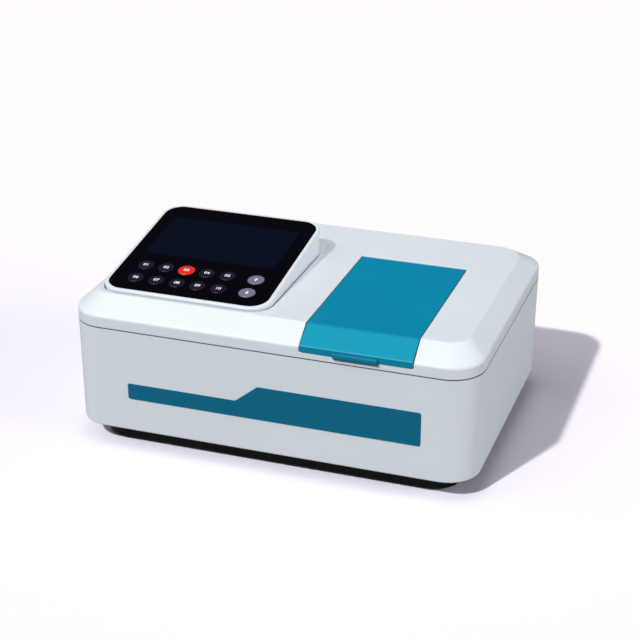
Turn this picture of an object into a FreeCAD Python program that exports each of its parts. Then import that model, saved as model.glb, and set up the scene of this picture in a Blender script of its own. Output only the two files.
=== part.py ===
import FreeCAD, Part
import math
import os
import re
import Sketcher

# A visible spectrophotometer with a tilting display console and a hinged compartment lid.
# The frame: +X to the operator's right, +Y to the back, +Z up, the bench at z = 0.
# Lengths are in millimetres and angles in degrees.

SIZES = {
    # The case: its outline at the seam, the draft of its sides and the levels of its edges.
    "case_width": 460,
    "case_depth": 328.5,
    "case_corner": 38,
    "case_draft": 1.1,
    "case_bottom": 22.7,
    "case_height": 120.4,
    "case_wall": 3,
    "case_edge_round": 2,
    "case_mid_y": 2.175,
    "seam_gap": 0.9,
    "seam_edge": 0.4,
    "tongue_height": 3,
    "tongue_step": 1.6,
    "tongue_clearance": 0.1,
    # The cover: a rim band, a sloped border and the flat top inside it.
    "rim_height": 14,
    "rim_round": 4.6,
    "slope_height": 17.3,
    "slope_front": 24.75,
    "slope_side": 19.4,
    "slope_rear": 29.95,
    "flat_corner_front": 22,
    "flat_corner_rear": 32,
    "crease_round": 1.5,
    "cover_wall": 3,
    # The screw posts in the case's corners.
    "post_inset": 22,
    "post_radius": 4.5,
    "post_drop": 6,
    "post_cap": 6,
    "post_bore": 3.6,
    "screw_radius": 1.45,
    "screw_length": 13,
    "screw_head_radius": 2.8,
    "screw_head_height": 2.2,
    "screw_clearance": 0.05,
    # The chassis tray under the case and its feet.
    "base_inset_side": 22.1,
    "base_inset_front": 17.55,
    "base_corner": 32,
    "base_lift": 2,
    "base_wall": 2.5,
    "base_edge_round": 2.5,
    "rib_thickness": 2,
    "rib_height": 12,
    "foot_radius": 11,
    "foot_height": 5,
    "foot_inset": 32,
    "foot_stem_radius": 3,
    "foot_stem_length": 5,
    "foot_boss_radius": 14,
    # The decorative stripe on the front.
    "stripe_left": -160.2,
    "stripe_right": 172.3,
    "stripe_bottom": 62.5,
    "stripe_low_top": 81.2,
    "stripe_high_top": 101.7,
    "stripe_step_left": -33.9,
    "stripe_step_right": -8.2,
    "stripe_corner": 2.5,
    "stripe_step_round": 4,
    "stripe_thickness": 0.5,
    # The compartment lid and its hinge.
    "lid_x": 100.75,
    "lid_width": 122.5,
    "lid_rear_margin": 109.75,
    "lid_wall": 3,
    "lid_gap": 0.8,
    "lid_front_reach": 0.75,
    "lid_lip_top": 158.6,
    "lid_lip_bottom": 151,
    "lid_lip_round": 2.3,
    "lid_fold_round": 1,
    "lid_corner": 3,
    "lid_edge_round": 0.6,
    "opening_round": 0.6,
    "barrel_radius": 3.5,
    "hinge_pin_radius": 1.5,
    "hinge_clearance": 0.05,
    "tab_width": 48.2,
    "tab_reach": 3.6,
    "tab_rise": 5.2,
    "tab_drop": 1.6,
    "tab_round": 1.6,
    "baffle_depth": 7,
    "baffle_wall": 2,
    "baffle_gap": 1,
    "flange_wall": 2.5,
    "flange_depth": 12,
    # The sample chamber and its seal.
    "chamber_width": 117,
    "chamber_front_gap": 6.5,
    "chamber_rear_gap": 11.5,
    "chamber_wall": 3,
    "chamber_rim": 3,
    "chamber_rim_thickness": 2.5,
    "seal_height": 2.2,
    "seal_gap": 0.3,
    "apron_drop": 17.4,
    "beam_height": 88,
    "window_radius": 9,
    "window_thickness": 2,
    "fit_clearance": 0.03,
    # The cell carriage, its rods, screw and motor.
    "cell_pitch": 20,
    "cell_count": 4,
    "cell_size": 12.6,
    "cell_depth": 38,
    "cell_wall": 4,
    "carriage_gap": 11,
    "carriage_height": 50,
    "carriage_base": 8,
    "rod_radius": 3,
    "rod_spacing": 44,
    "rod_height": 62,
    "rod_boss_radius": 5.5,
    "slide_clearance": 0.05,
    "lead_screw_radius": 3,
    "aperture_radius": 4,
    "motor_size": 35,
    "motor_length": 26,
    "motor_corner": 4,
    # The tilting console: bezel, front panel, screen and shell.
    "panel_x": -107.05,
    "console_front_margin": 33.55,
    "panel_front_z": 178.36,
    "panel_tilt": 8.15,
    "panel_border": 11.25,
    "panel_rear_border": 18.7,
    "panel_corner": 20,
    "panel_thickness": 2,
    "panel_recess": 0.2,
    "panel_gap": 0.15,
    "bezel_margin": 4.1,
    "bezel_thickness": 5.5,
    "bezel_round": 1.8,
    "bezel_ledge": 3,
    "shell_inset": 0.8,
    "shell_wall": 2.5,
    "shell_bottom": 166,
    "board_depth": 6.6,
    "board_thickness": 1.6,
    "console_post_radius": 3,
    "screen_width": 165,
    "screen_length": 100,
    "screen_front": 73,
    # The recess in the cover that the console folds into.
    "recess_gap": 1,
    "recess_front_gap": 1.4,
    "recess_finger_room": 32.5,
    "recess_corner": 25,
    "recess_depth": 38,
    "recess_wall": 2.5,
    "recess_edge_round": 0.8,
    # The console's tilt hinge.
    "tilt_axis_y": 6.2,
    "tilt_axis_drop": 8,
    "tilt_hinge_x": 58,
    "tilt_barrel_radius": 2.6,
    "tilt_barrel_width": 20,
    "tilt_pin_radius": 1.5,
    "tilt_ear_gap": 0.3,
    "tilt_ear_thickness": 4,
    "tilt_leaf_thickness": 1.5,
    "tilt_leaf_length": 18,
    "tilt_arm_thickness": 2.4,
    # The keys on the console.
    "key_radius": 9,
    "red_key_radius": 9.5,
    "arrow_key_radius": 9.2,
    "key_gap": 0.3,
    "key_proud": 0.5,
    "key_flange": 1,
    "key_flange_thickness": 0.8,
    "key_edge": 0.35,
    "key_travel": 0.8,
    "key_stem_radius": 3,
    "key_row_front": 25.8,
    "key_row_rear": 53.6,
    "key_first_x": -65.55,
    "key_pitch": 24.43,
    "arrow_key_x": 65.65,
    # The optical bench and what stands on it.
    "bench_left_margin": 25,
    "bench_right_margin": 16,
    "bench_front_margin": 14.25,
    "bench_rear_margin": 102.25,
    "bench_clearance": 2,
    "bench_thickness": 7,
    "bench_lift": 6,
    "bench_leg_radius": 8,
    "bench_corner": 12,
    "mono_width": 151.25,
    "mono_side_gap": 6,
    "mono_front_margin": 30,
    "mono_rear_margin": 2,
    "mono_height": 78,
    "mono_wall": 4,
    "mono_cover_thickness": 3,
    "slit_x": -60,
    "slit_width": 1,
    "slit_height": 8,
    "slit_plate_size": 24,
    "slit_plate_thickness": 1,
    "mirror_radius": 20,
    "mirror_thickness": 6,
    "grating_size": 30,
    "grating_thickness": 6,
    "grating_x": -40,
    "grating_set_back": 40,
    "table_radius": 19,
    "table_thickness": 4,
    "table_lift": 14,
    "shaft_radius": 3,
    "grating_motor_size": 35,
    "grating_motor_length": 12,
    # The lamp and the filter wheel.
    "filter_radius": 25,
    "filter_thickness": 2.5,
    "filter_offset": 17,
    "filter_hole_radius": 5,
    "filter_count": 6,
    "filter_gap": 2,
    "filter_motor_radius": 10,
    "filter_motor_length": 11,
    "filter_bracket": 1.5,
    "lamp_house_width": 50,
    "lamp_house_length": 46,
    "lamp_house_gap": 21,
    "lamp_house_wall": 2.5,
    "lamp_house_height": 86,
    "lamp_radius": 5.5,
    "lamp_length": 26,
    "socket_radius": 9,
    "socket_height": 14,
    # The detector.
    "detector_length": 46,
    "detector_width": 34,
    "detector_height": 68,
    "detector_wall": 3,
    # The boards.
    "board_stand": 6,
    "main_board_side_margin": 40,
    "main_board_rear_margin": 14.25,
    "main_board_width": 190,
    "main_board_depth": 62,
    "supply_side_margin": 12,
    "supply_rear_margin": 37.25,
    "supply_width": 96,
    "supply_depth": 61,
    "supply_height": 38,
    "supply_wall": 1.5,
    # The rear panel and its fittings.
    "window_width": 366,
    "window_low": 44,
    "window_high": 126,
    "land_width": 6,
    "rear_panel_depth": 7.25,
    "rear_panel_thickness": 1.5,
    "rear_panel_corner": 4,
    "fan_x": -60,
    "fan_height": 85,
    "fan_size": 60,
    "fan_depth": 25,
    "fan_duct_radius": 28.5,
    "fan_hub_radius": 13,
    "fan_blade_radius": 26,
    "fan_blade_count": 7,
    "fan_blade_thickness": 1.6,
    "fan_hole_spacing": 50,
    "fan_hole_radius": 2.2,
    "inlet_x": -150,
    "inlet_height": 72,
    "inlet_width": 30,
    "inlet_flange": 3,
    "inlet_flange_thickness": 2,
    "inlet_socket_width": 24,
    "inlet_socket_height": 16.5,
    "inlet_socket_depth": 17,
    "inlet_body_height": 36,
    "inlet_body_depth": 28,
    "fuse_width": 22,
    "fuse_height": 8,
    "fuse_length": 22,
    "fuse_clearance": 0.1,
    "switch_x": -110,
    "switch_width": 21,
    "switch_height": 15,
    "switch_flange": 2,
    "switch_depth": 16,
    "rocker_tilt": 9,
    "port_height": 62,
    "serial_x": 60,
    "serial_width": 19,
    "serial_tall": 10.5,
    "serial_depth": 12,
    "usb_x": 110,
    "usb_spacing": 24,
    "usb_width": 13.2,
    "usb_tall": 6,
    "usb_depth": 15,
}

# Places and lengths that follow from the sizes above.
PLACES = {
    "lid_rear": "case_depth / 2 - lid_rear_margin",
    "chamber_front": "slope_front - case_depth / 2 + chamber_front_gap",
    "chamber_rear": "lid_rear - chamber_rear_gap",
    "chamber_length": "chamber_rear - chamber_front",
    "chamber_mid_y": "(chamber_front + chamber_rear) / 2",
    "panel_front_y": "console_front_margin - case_depth / 2",
    "panel_width": "screen_width + 2 * panel_border",
    "panel_length": "screen_front + screen_length + panel_rear_border",
    "recess_rear": "panel_front_y + panel_length + recess_finger_room",
    "bench_left": "bench_left_margin - case_width / 2",
    "bench_right": "case_width / 2 - bench_right_margin",
    "bench_front": "bench_front_margin - case_depth / 2",
    "bench_rear": "case_depth / 2 - bench_rear_margin",
    "mono_right": "lid_x - chamber_width / 2 - mono_side_gap",
    "mono_left": "mono_right - mono_width",
    "mono_front": "bench_front + mono_front_margin",
    "mono_rear": "bench_rear - mono_rear_margin",
    "grating_y": "mono_front + grating_set_back",
    "lamp_house_front": "mono_rear + lamp_house_gap",
    "main_board_right": "case_width / 2 - main_board_side_margin",
    "main_board_left": "main_board_right - main_board_width",
    "main_board_rear": "case_depth / 2 - main_board_rear_margin",
    "main_board_front": "main_board_rear - main_board_depth",
    "supply_left": "supply_side_margin - case_width / 2",
    "supply_right": "supply_left + supply_width",
    "supply_rear": "case_depth / 2 - supply_rear_margin",
    "supply_front": "supply_rear - supply_depth",
}

doc = FreeCAD.newDocument("spectrophotometer")
sheet = doc.addObject("Spreadsheet::Sheet", "Sizes")
for row, (alias, number) in enumerate(SIZES.items(), start=1):
    sheet.set("A%d" % row, alias)
    sheet.set("B%d" % row, str(number))
    sheet.setAlias("B%d" % row, alias)
doc.recompute()

SEAM = "(case_bottom + case_height)"
RIM = "(case_bottom + case_height + rim_height)"
TOP = "(case_bottom + case_height + rim_height + slope_height)"
FLOOR = "(case_bottom + case_wall)"
BENCH_TOP = "(case_bottom + case_wall + bench_lift + bench_thickness)"
REAR_SEAT = "(case_depth / 2 - rear_panel_depth)"
CASE_DRAFT = "atan(case_draft / case_height)"
Vector = FreeCAD.Vector


def named(text):
    """An expression with every size written as a cell of the sheet."""
    def cell(match):
        word = match[0]
        if word in PLACES:
            return "(%s)" % named(PLACES[word])
        return "Sizes." + word if word in SIZES else word
    return re.sub(r"[a-z][a-z_]*", cell, str(text))


def value(text):
    return float(sheet.evalExpression(named(text)))


def minus(text):
    return "-(%s)" % text


def new_body(name, x="0", y="0", z="0", axis=(1, 0, 0), angle=None):
    """A body placed at x, y, z of the case's frame, whose middle depth lies at case_mid_y."""
    body = doc.addObject("PartDesign::Body", name)
    body.Label = name
    body.Placement = FreeCAD.Placement(Vector(0, 0, 0), FreeCAD.Rotation(Vector(*axis), 10))
    if angle is None:
        body.Placement = FreeCAD.Placement()
    else:
        body.setExpression("Placement.Rotation.Angle", named(angle))
    body.setExpression("Placement.Base.x", named(x))
    body.setExpression("Placement.Base.y", named("case_mid_y + %s" % y))
    body.setExpression("Placement.Base.z", named(z))
    return body


def sketch(body, name, plane="XY", height="0"):
    """A sketch parallel to one of the body's origin planes, raised along that plane's normal."""
    drawing = body.newObject("Sketcher::SketchObject", body.Name + "_" + name)
    role = plane + "_Plane"
    support = [f for f in body.Origin.OriginFeatures if f.Role == role][0]
    drawing.AttachmentSupport = [(support, "")]
    drawing.MapMode = "FlatFace"
    drawing.setExpression("AttachmentOffset.Base.z", named(height))
    return drawing


class Pen:
    """Draws closed outlines and circles whose points are bound to the sheet."""

    def __init__(self, drawing):
        self.drawing = drawing
        self.rules = []
        self.bound = []

    def fix(self, kind, *rule):
        *places, text = rule
        self.rules.append(Sketcher.Constraint(kind, *places, value(text)))
        self.bound.append((len(self.rules) - 1, text))

    def finish(self):
        self.drawing.addConstraint(self.rules)
        for index, text in self.bound:
            self.drawing.renameConstraint(index, "size%d" % index)
            self.drawing.setExpression("Constraints.size%d" % index, named(text))
        return self.drawing

    def circle(self, x, y, radius):
        centre = Vector(value(x), value(y), 0)
        index = self.drawing.addGeometry(Part.Circle(centre, Vector(0, 0, 1), value(radius)), False)
        self.fix("DistanceX", -1, 1, index, 3, x)
        self.fix("DistanceY", -1, 1, index, 3, y)
        self.fix("Radius", index, radius)

    def outline(self, corners):
        """A closed outline through corners (x, y) or (x, y, radius)."""
        points = [Vector(value(c[0]), value(c[1]), 0) for c in corners]
        radii = [value(c[2]) if len(c) > 2 else 0.0 for c in corners]
        count = len(points)
        entry, leave, centres = [], [], []
        for i, point in enumerate(points):
            back = (points[i - 1] - point).normalize()
            ahead = (points[(i + 1) % count] - point).normalize()
            half = back.getAngle(ahead) / 2
            reach = radii[i] / math.tan(half)
            entry.append(point + back * reach)
            leave.append(point + ahead * reach)
            middle = (back + ahead).normalize() if radii[i] else Vector(0, 0, 0)
            centres.append(point + middle * (radii[i] / math.sin(half)))
        sides = [
            self.drawing.addGeometry(Part.LineSegment(leave[i], entry[(i + 1) % count]), False)
            for i in range(count)
        ]
        for i, corner in enumerate(corners):
            before, after = sides[i - 1], sides[i]
            if not radii[i]:
                self.rules.append(Sketcher.Constraint("Coincident", before, 2, after, 1))
                self.fix("DistanceX", -1, 1, after, 1, corner[0])
                self.fix("DistanceY", -1, 1, after, 1, corner[1])
                continue
            first, last = entry[i] - centres[i], leave[i] - centres[i]
            turns_left = first.cross(last).z > 0
            if not turns_left:
                first, last = last, first
            circle = Part.Circle(centres[i], Vector(0, 0, 1), radii[i])
            start = math.atan2(first.y, first.x)
            stop = math.atan2(last.y, last.x)
            arc = self.drawing.addGeometry(Part.ArcOfCircle(circle, start, stop), False)
            mark = self.drawing.addGeometry(Part.Point(points[i]), True)
            near, far = (1, 2) if turns_left else (2, 1)
            self.rules.append(Sketcher.Constraint("Tangent", before, 2, arc, near))
            self.rules.append(Sketcher.Constraint("Tangent", arc, far, after, 1))
            self.fix("Radius", arc, corner[2])
            self.fix("DistanceX", -1, 1, mark, 1, corner[0])
            self.fix("DistanceY", -1, 1, mark, 1, corner[1])
            self.rules.append(Sketcher.Constraint("PointOnObject", mark, 1, before))
            self.rules.append(Sketcher.Constraint("PointOnObject", mark, 1, after))


def draw(drawing, outlines=(), circles=()):
    pen = Pen(drawing)
    for corners in outlines:
        pen.outline(corners)
    for x, y, radius in circles:
        pen.circle(x, y, radius)
    return pen.finish()


def box_outline(left, right, front, rear, radius=None, rear_radius=None):
    """A rectangle, with one radius at its front corners and another at its rear ones."""
    corners = [(left, front), (right, front), (right, rear), (left, rear)]
    if radius is None:
        return corners
    rear_radius = rear_radius or radius
    radii = [radius, radius, rear_radius, rear_radius]
    return [(x, y, r) for (x, y), r in zip(corners, radii)]


def centred(x, y, width, height, radius=None):
    """A rectangle about a middle point."""
    return box_outline("%s - (%s) / 2" % (x, width), "%s + (%s) / 2" % (x, width),
                       "%s - (%s) / 2" % (y, height), "%s + (%s) / 2" % (y, height), radius)


def settle(body, feature, changes="grow"):
    """Recompute, and stop if the feature failed or left the volume as it was."""
    before = body.Shape.Volume if body.Tip and not body.Shape.isNull() else 0.0
    body.Tip = feature
    doc.recompute()
    if "Invalid" in feature.State or "Error" in feature.State or feature.Shape.isNull():
        raise RuntimeError("%s failed: %s" % (feature.Name, feature.State))
    change = body.Shape.Volume - before
    if (changes == "grow" and change <= 0.01) or (changes == "shrink" and change >= -0.01):
        raise RuntimeError("%s changed the volume by %.3f" % (feature.Name, change))
    return feature


def extrude(body, kind, drawing, length, reverse, middle, taper):
    feature = body.newObject("PartDesign::" + kind, drawing.Name + "_" + kind.lower())
    feature.Profile = drawing
    feature.setExpression("Length", named(length))
    if taper:
        feature.setExpression("TaperAngle", named(taper))
    feature.Reversed = reverse
    if middle:
        feature.SideType = "Symmetric"
    return feature


def pad(body, drawing, length, reverse=False, middle=False, taper=None):
    return settle(body, extrude(body, "Pad", drawing, length, reverse, middle, taper), "grow")


def pocket(body, drawing, length, reverse=False, middle=False, taper=None):
    return settle(body, extrude(body, "Pocket", drawing, length, reverse, middle, taper), "shrink")


def loft(body, first, last, cut=False):
    kind = "SubtractiveLoft" if cut else "AdditiveLoft"
    feature = body.newObject("PartDesign::" + kind, first.Name + "_loft")
    feature.Profile = first
    feature.Sections = [last]
    feature.Ruled = True
    return settle(body, feature, "shrink" if cut else "grow")


def revolve(body, drawing, axis, cut=False):
    """Turn a sketch about one of the body's origin axes."""
    kind = "Groove" if cut else "Revolution"
    feature = body.newObject("PartDesign::" + kind, drawing.Name + "_turned")
    feature.Profile = drawing
    line = [f for f in body.Origin.OriginFeatures if f.Role == axis + "_Axis"][0]
    feature.ReferenceAxis = (line, [""])
    feature.Angle = 360
    return settle(body, feature, "shrink" if cut else "grow")


def edges_where(shape, test):
    return ["Edge%d" % (i + 1) for i, edge in enumerate(shape.Edges) if test(edge)]


def edges_at(height):
    """The test for edges that lie level at a height of the body's own frame."""
    level = value(height)

    def test(edge):
        box = edge.BoundBox
        return abs(box.ZMin - level) < 1e-4 and abs(box.ZMax - level) < 1e-4
    return test


def edges_within(height, left, right, front, rear):
    """The test for edges that lie level at a height and inside a rectangle."""
    at_height = edges_at(height)
    low_x, high_x, low_y, high_y = [value(limit) for limit in (left, right, front, rear)]

    def test(edge):
        box = edge.BoundBox
        inside = low_x < box.XMin and box.XMax < high_x and low_y < box.YMin and box.YMax < high_y
        return inside and at_height(edge)
    return test


def soften(body, kind, size, test):
    """Fillet or chamfer the edges that pass a test."""
    base = body.Tip
    feature = body.newObject("PartDesign::" + kind, "%s_%s" % (body.Name, kind.lower()))
    feature.Base = (base, edges_where(base.Shape, test))
    feature.setExpression("Radius" if kind == "Fillet" else "Size", named(size))
    return settle(body, feature, "any")


def repeat_round(body, feature, axis, count):
    """Copy a feature evenly about one of the body's origin axes."""
    pattern = body.newObject("PartDesign::PolarPattern", feature.Name + "_ring")
    pattern.Originals = [feature]
    line = [f for f in body.Origin.OriginFeatures if f.Role == axis + "_Axis"][0]
    pattern.Axis = (line, [""])
    pattern.Angle = 360
    pattern.setExpression("Occurrences", named(count))
    return settle(body, pattern, "any")


def case_outline(inset):
    """The case's outline in plan, drawn inwards by an inset."""
    half_x = "(case_width / 2 - (%s))" % inset
    half_y = "(case_depth / 2 - (%s))" % inset
    return box_outline(minus(half_x), half_x, minus(half_y), half_y, "case_corner - (%s)" % inset)


def flat_outline(inset):
    """The outline of the cover's flat top, drawn inwards by an inset (outwards if negative)."""
    half_x = "(case_width / 2 - slope_side - (%s))" % inset
    front = "-(case_depth / 2 - slope_front - (%s))" % inset
    rear = "(case_depth / 2 - slope_rear - (%s))" % inset
    return box_outline(minus(half_x), half_x, front, rear,
                       "flat_corner_front - (%s)" % inset, "flat_corner_rear - (%s)" % inset)


def corner_places(inset_x, inset_y):
    """Four places, one in each corner of the case."""
    x = "(case_width / 2 - (%s))" % inset_x
    y = "(case_depth / 2 - (%s))" % inset_y
    return [(sx % x, sy % y) for sx in ("-%s", "%s") for sy in ("-%s", "%s")]


# The lower case: a drafted tub with a tongue round its brim, corner posts, and a framed
# window at the back that the rear panel closes.
def lower_case():
    body = new_body("lower_case")
    foot = draw(sketch(body, "foot", height="case_bottom"), [case_outline("case_draft")])
    pad(body, foot, "case_height", taper=CASE_DRAFT)
    soften(body, "Fillet", "case_edge_round", edges_at("case_bottom"))
    soften(body, "Chamfer", "seam_edge", edges_at(SEAM))
    inner = draw(sketch(body, "inner_brim", height=SEAM), [case_outline("case_wall")])
    pocket(body, inner, "case_height - case_wall", taper=minus(CASE_DRAFT))
    tongue = sketch(body, "tongue", height=SEAM)
    pad(body, draw(tongue, [case_outline("tongue_step"), case_outline("case_wall")]), "tongue_height")
    land = sketch(body, "window_land", "XZ", minus(REAR_SEAT))
    frame = centred("0", "(window_low + window_high) / 2", "window_width + 2 * land_width",
                    "window_high - window_low + 2 * land_width", "rear_panel_corner")
    pad(body, draw(land, [frame]), "rear_panel_depth - case_draft - case_wall / 2", reverse=True)
    window = sketch(body, "window", "XZ", minus(REAR_SEAT) + " + case_wall")
    hole = centred("0", "(window_low + window_high) / 2", "window_width",
                   "window_high - window_low", "rear_panel_corner")
    pocket(body, draw(window, [hole]), "rear_panel_depth + 3 * case_wall", reverse=False)
    posts = sketch(body, "posts", height="case_bottom + case_wall / 2")
    places = corner_places("post_inset", "post_inset")
    pad(body, draw(posts, circles=[(x, y, "post_radius") for x, y in places]),
        "case_height - case_wall / 2 - post_drop")
    bores = sketch(body, "post_bores", height="case_bottom")
    pocket(body, draw(bores, circles=[(x, y, "post_bore") for x, y in places]),
           "case_height - post_drop - post_cap", reverse=True)
    holes = sketch(body, "post_holes", height="case_bottom")
    radius = "screw_radius + screw_clearance"
    pocket(body, draw(holes, circles=[(x, y, radius) for x, y in places]), "case_height", reverse=True)
    stands = sketch(body, "board_stands", height="case_bottom + case_wall / 2")
    pad(body, draw(stands, circles=[(x, y, "console_post_radius") for x, y in main_board_corners()]),
        "case_wall / 2 + board_stand")
    return body


def main_board_corners():
    """Where the main board's four stands rise from the case floor."""
    inset = "2 * console_post_radius"
    xs = ("main_board_left + " + inset, "main_board_right - " + inset)
    ys = ("main_board_front + " + inset, "main_board_rear - " + inset)
    return [(x, y) for x in xs for y in ys]


# The upper cover: a rim band, a sloped border lofted to the flat top, a deep recess for the
# console, an opening for the lid with a down-turned flange, and bosses over the case's posts.
def upper_cover():
    body = new_body("upper_cover")
    skirt = sketch(body, "skirt", height=SEAM + " + seam_gap")
    pad(body, draw(skirt, [case_outline("0")]), "rim_height - seam_gap")
    loft(body, draw(sketch(body, "rim", height=RIM), [case_outline("0")]),
         draw(sketch(body, "flat", height=TOP), [flat_outline("0")]))
    soften(body, "Fillet", "crease_round", edges_at(TOP))
    soften(body, "Fillet", "rim_round", edges_at(RIM))
    soften(body, "Chamfer", "seam_edge", edges_at(SEAM + " + seam_gap"))
    cavity = sketch(body, "cavity", height=SEAM)
    pocket(body, draw(cavity, [case_outline("cover_wall")]), "rim_height - cover_wall / 2", reverse=True)
    loft(body, draw(sketch(body, "inner_rim", height=RIM + " - cover_wall / 2"),
                    [case_outline("cover_wall")]),
         draw(sketch(body, "inner_flat", height=TOP + " - cover_wall"),
              [flat_outline("cover_wall / 3")]), cut=True)
    groove = sketch(body, "tongue_recess", height=SEAM)
    pocket(body, draw(groove, [case_outline("tongue_step - tongue_clearance")]), "tongue_height",
           reverse=True)
    tub = sketch(body, "recess_walls", height=TOP + " - recess_depth - recess_wall")
    pad(body, draw(tub, [recess_outline("recess_wall")]), "recess_depth + recess_wall - cover_wall / 2")
    hollow = sketch(body, "recess", height=TOP + " - recess_depth")
    pocket(body, draw(hollow, [recess_outline("0")]), "recess_depth + cover_wall", reverse=True)
    reach = "(panel_width / 2 + bezel_margin + 2 * recess_gap)"
    soften(body, "Fillet", "recess_edge_round",
           edges_within(TOP, "panel_x - " + reach, "panel_x + " + reach,
                        "panel_front_y - bezel_margin - 2 * recess_front_gap", "recess_rear + recess_gap"))
    flange = sketch(body, "lid_flange", height=TOP + " - cover_wall - flange_depth")
    sides = box_outline("lid_x - lid_width / 2 - lid_gap - flange_wall",
                        "lid_x + lid_width / 2 + lid_gap + flange_wall",
                        "slope_front - case_depth / 2 + flange_wall",
                        "lid_rear + lid_gap + flange_wall", "lid_corner")
    pad(body, draw(flange, [sides]), "flange_depth + cover_wall / 2")
    opening = sketch(body, "lid_opening", height=TOP + " + cover_wall")
    gap = box_outline("lid_x - lid_width / 2 - lid_gap", "lid_x + lid_width / 2 + lid_gap",
                      "-case_depth / 2 - 2 * cover_wall", "lid_rear + lid_gap", "lid_corner", "lid_corner / 3")
    pocket(body, draw(opening, [gap]), TOP + " + cover_wall - lid_lip_bottom + lid_gap / 2")
    soften(body, "Fillet", "opening_round", lid_opening_rim())
    seats = sketch(body, "pin_seats", "YZ", "lid_x")
    pocket(body, draw(seats, circles=[("lid_rear - barrel_radius", TOP + " - barrel_radius",
                                       "hinge_pin_radius + fit_clearance")]),
           "lid_width + 2 * lid_gap + 2 * flange_wall", middle=True)
    bosses = sketch(body, "bosses", height=SEAM + " - post_drop")
    places = corner_places("post_inset", "post_inset")
    pad(body, draw(bosses, circles=[(x, y, "post_radius") for x, y in places]),
        "post_drop + rim_height + slope_height * 0.26")
    holes = sketch(body, "boss_holes", height=SEAM + " - post_drop")
    radius = "screw_radius + screw_clearance"
    pocket(body, draw(holes, circles=[(x, y, radius) for x, y in places]),
           "screw_length - post_cap + 2", reverse=True)
    return body


def lid_opening_rim():
    """The test for edges where the lid's opening breaks the cover's outer face."""
    half = value("lid_width / 2 + lid_gap") + 0.01
    middle, rear, front = value("lid_x"), value("lid_rear + lid_gap") + 0.01, value("-case_depth / 2")
    crease, top, low = value("slope_front - case_depth / 2"), value(TOP), value("lid_lip_bottom - lid_gap")
    slope = value("slope_height / slope_front")

    def outside(vertex):
        at = vertex.Point
        if at.y < front + 0.3:
            return at.z > low
        return at.z > top + min(0.0, (at.y - crease) * slope) - 1.2

    def test(edge):
        box = edge.BoundBox
        inside = box.XMin > middle - half and box.XMax < middle + half and box.YMax < rear
        return inside and all(outside(v) for v in edge.Vertexes)
    return test


def recess_outline(outset):
    """The console's recess in plan, drawn outwards by an outset."""
    half = "(panel_width / 2 + bezel_margin + recess_gap + %s)" % outset
    front = "panel_front_y - bezel_margin - recess_front_gap - %s" % outset
    return box_outline("panel_x - " + half, "panel_x + " + half, front, "recess_rear + " + outset,
                       "recess_corner + " + outset)


# Pan-head screws: four hold the cover from below, inside the posts.
def case_screws():
    body = new_body("case_screws", z=SEAM + " - post_drop - post_cap")
    places = corner_places("post_inset", "post_inset")
    heads = sketch(body, "heads")
    pad(body, draw(heads, circles=[(x, y, "screw_head_radius") for x, y in places]),
        "screw_head_height", reverse=True)
    shanks = sketch(body, "shanks")
    pad(body, draw(shanks, circles=[(x, y, "screw_radius") for x, y in places]), "screw_length")
    return body


# The chassis tray: a deck that carries the case, a skirt round it, ribs and four foot bosses.
def base_chassis():
    body = new_body("base_chassis")

    def tray(inset):
        half_x = "(case_width / 2 - case_draft - base_inset_side - (%s))" % inset
        half_y = "(case_depth / 2 - case_draft - base_inset_front - (%s))" % inset
        return box_outline(minus(half_x), half_x, minus(half_y), half_y,
                           "base_corner - (%s)" % inset)
    outer = sketch(body, "skirt", height="base_lift")
    pad(body, draw(outer, [tray("0")]), "case_bottom - base_lift")
    soften(body, "Fillet", "base_edge_round", edges_at("base_lift"))
    inner = sketch(body, "hollow", height="base_lift")
    pocket(body, draw(inner, [tray("base_wall + base_edge_round")]),
           "case_bottom - base_lift - base_wall", reverse=True)
    ribs = sketch(body, "ribs", height="case_bottom - base_wall / 2")
    reach_x = "case_width - 2 * (case_draft + base_inset_side + base_wall)"
    reach_y = "case_depth - 2 * (case_draft + base_inset_front + base_wall)"
    pad(body, draw(ribs, [centred("0", "case_depth / 8", reach_x, "rib_thickness")]),
        "rib_height", reverse=True)
    more = sketch(body, "cross_ribs", height="case_bottom - base_wall / 2")
    pad(body, draw(more, [centred("case_width / 7", "0", "rib_thickness", reach_y)]),
        "rib_height", reverse=True)
    last = sketch(body, "left_rib", height="case_bottom - base_wall / 2")
    pad(body, draw(last, [centred("-case_width / 7", "0", "rib_thickness", reach_y)]),
        "rib_height", reverse=True)
    places = foot_places()
    bosses = sketch(body, "foot_bosses", height="foot_height")
    pad(body, draw(bosses, circles=[(x, y, "foot_boss_radius") for x, y in places]),
        "case_bottom - base_wall / 2 - foot_height")
    holes = sketch(body, "foot_holes", height="foot_height")
    pocket(body, draw(holes, circles=[(x, y, "foot_stem_radius + fit_clearance") for x, y in places]),
           "foot_stem_length + 1", reverse=True)
    return body


def foot_places():
    return corner_places("case_draft + base_inset_side + foot_inset",
                         "case_draft + base_inset_front + foot_inset")


# Four rubber feet with stems that push into the chassis bosses.
def rubber_feet():
    body = new_body("rubber_feet")
    pads = sketch(body, "pads")
    pad(body, draw(pads, circles=[(x, y, "foot_radius") for x, y in foot_places()]), "foot_height")
    soften(body, "Chamfer", "foot_height / 5", edges_at("0"))
    stems = sketch(body, "stems", height="foot_height")
    pad(body, draw(stems, circles=[(x, y, "foot_stem_radius") for x, y in foot_places()]),
        "foot_stem_length")
    return body


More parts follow.
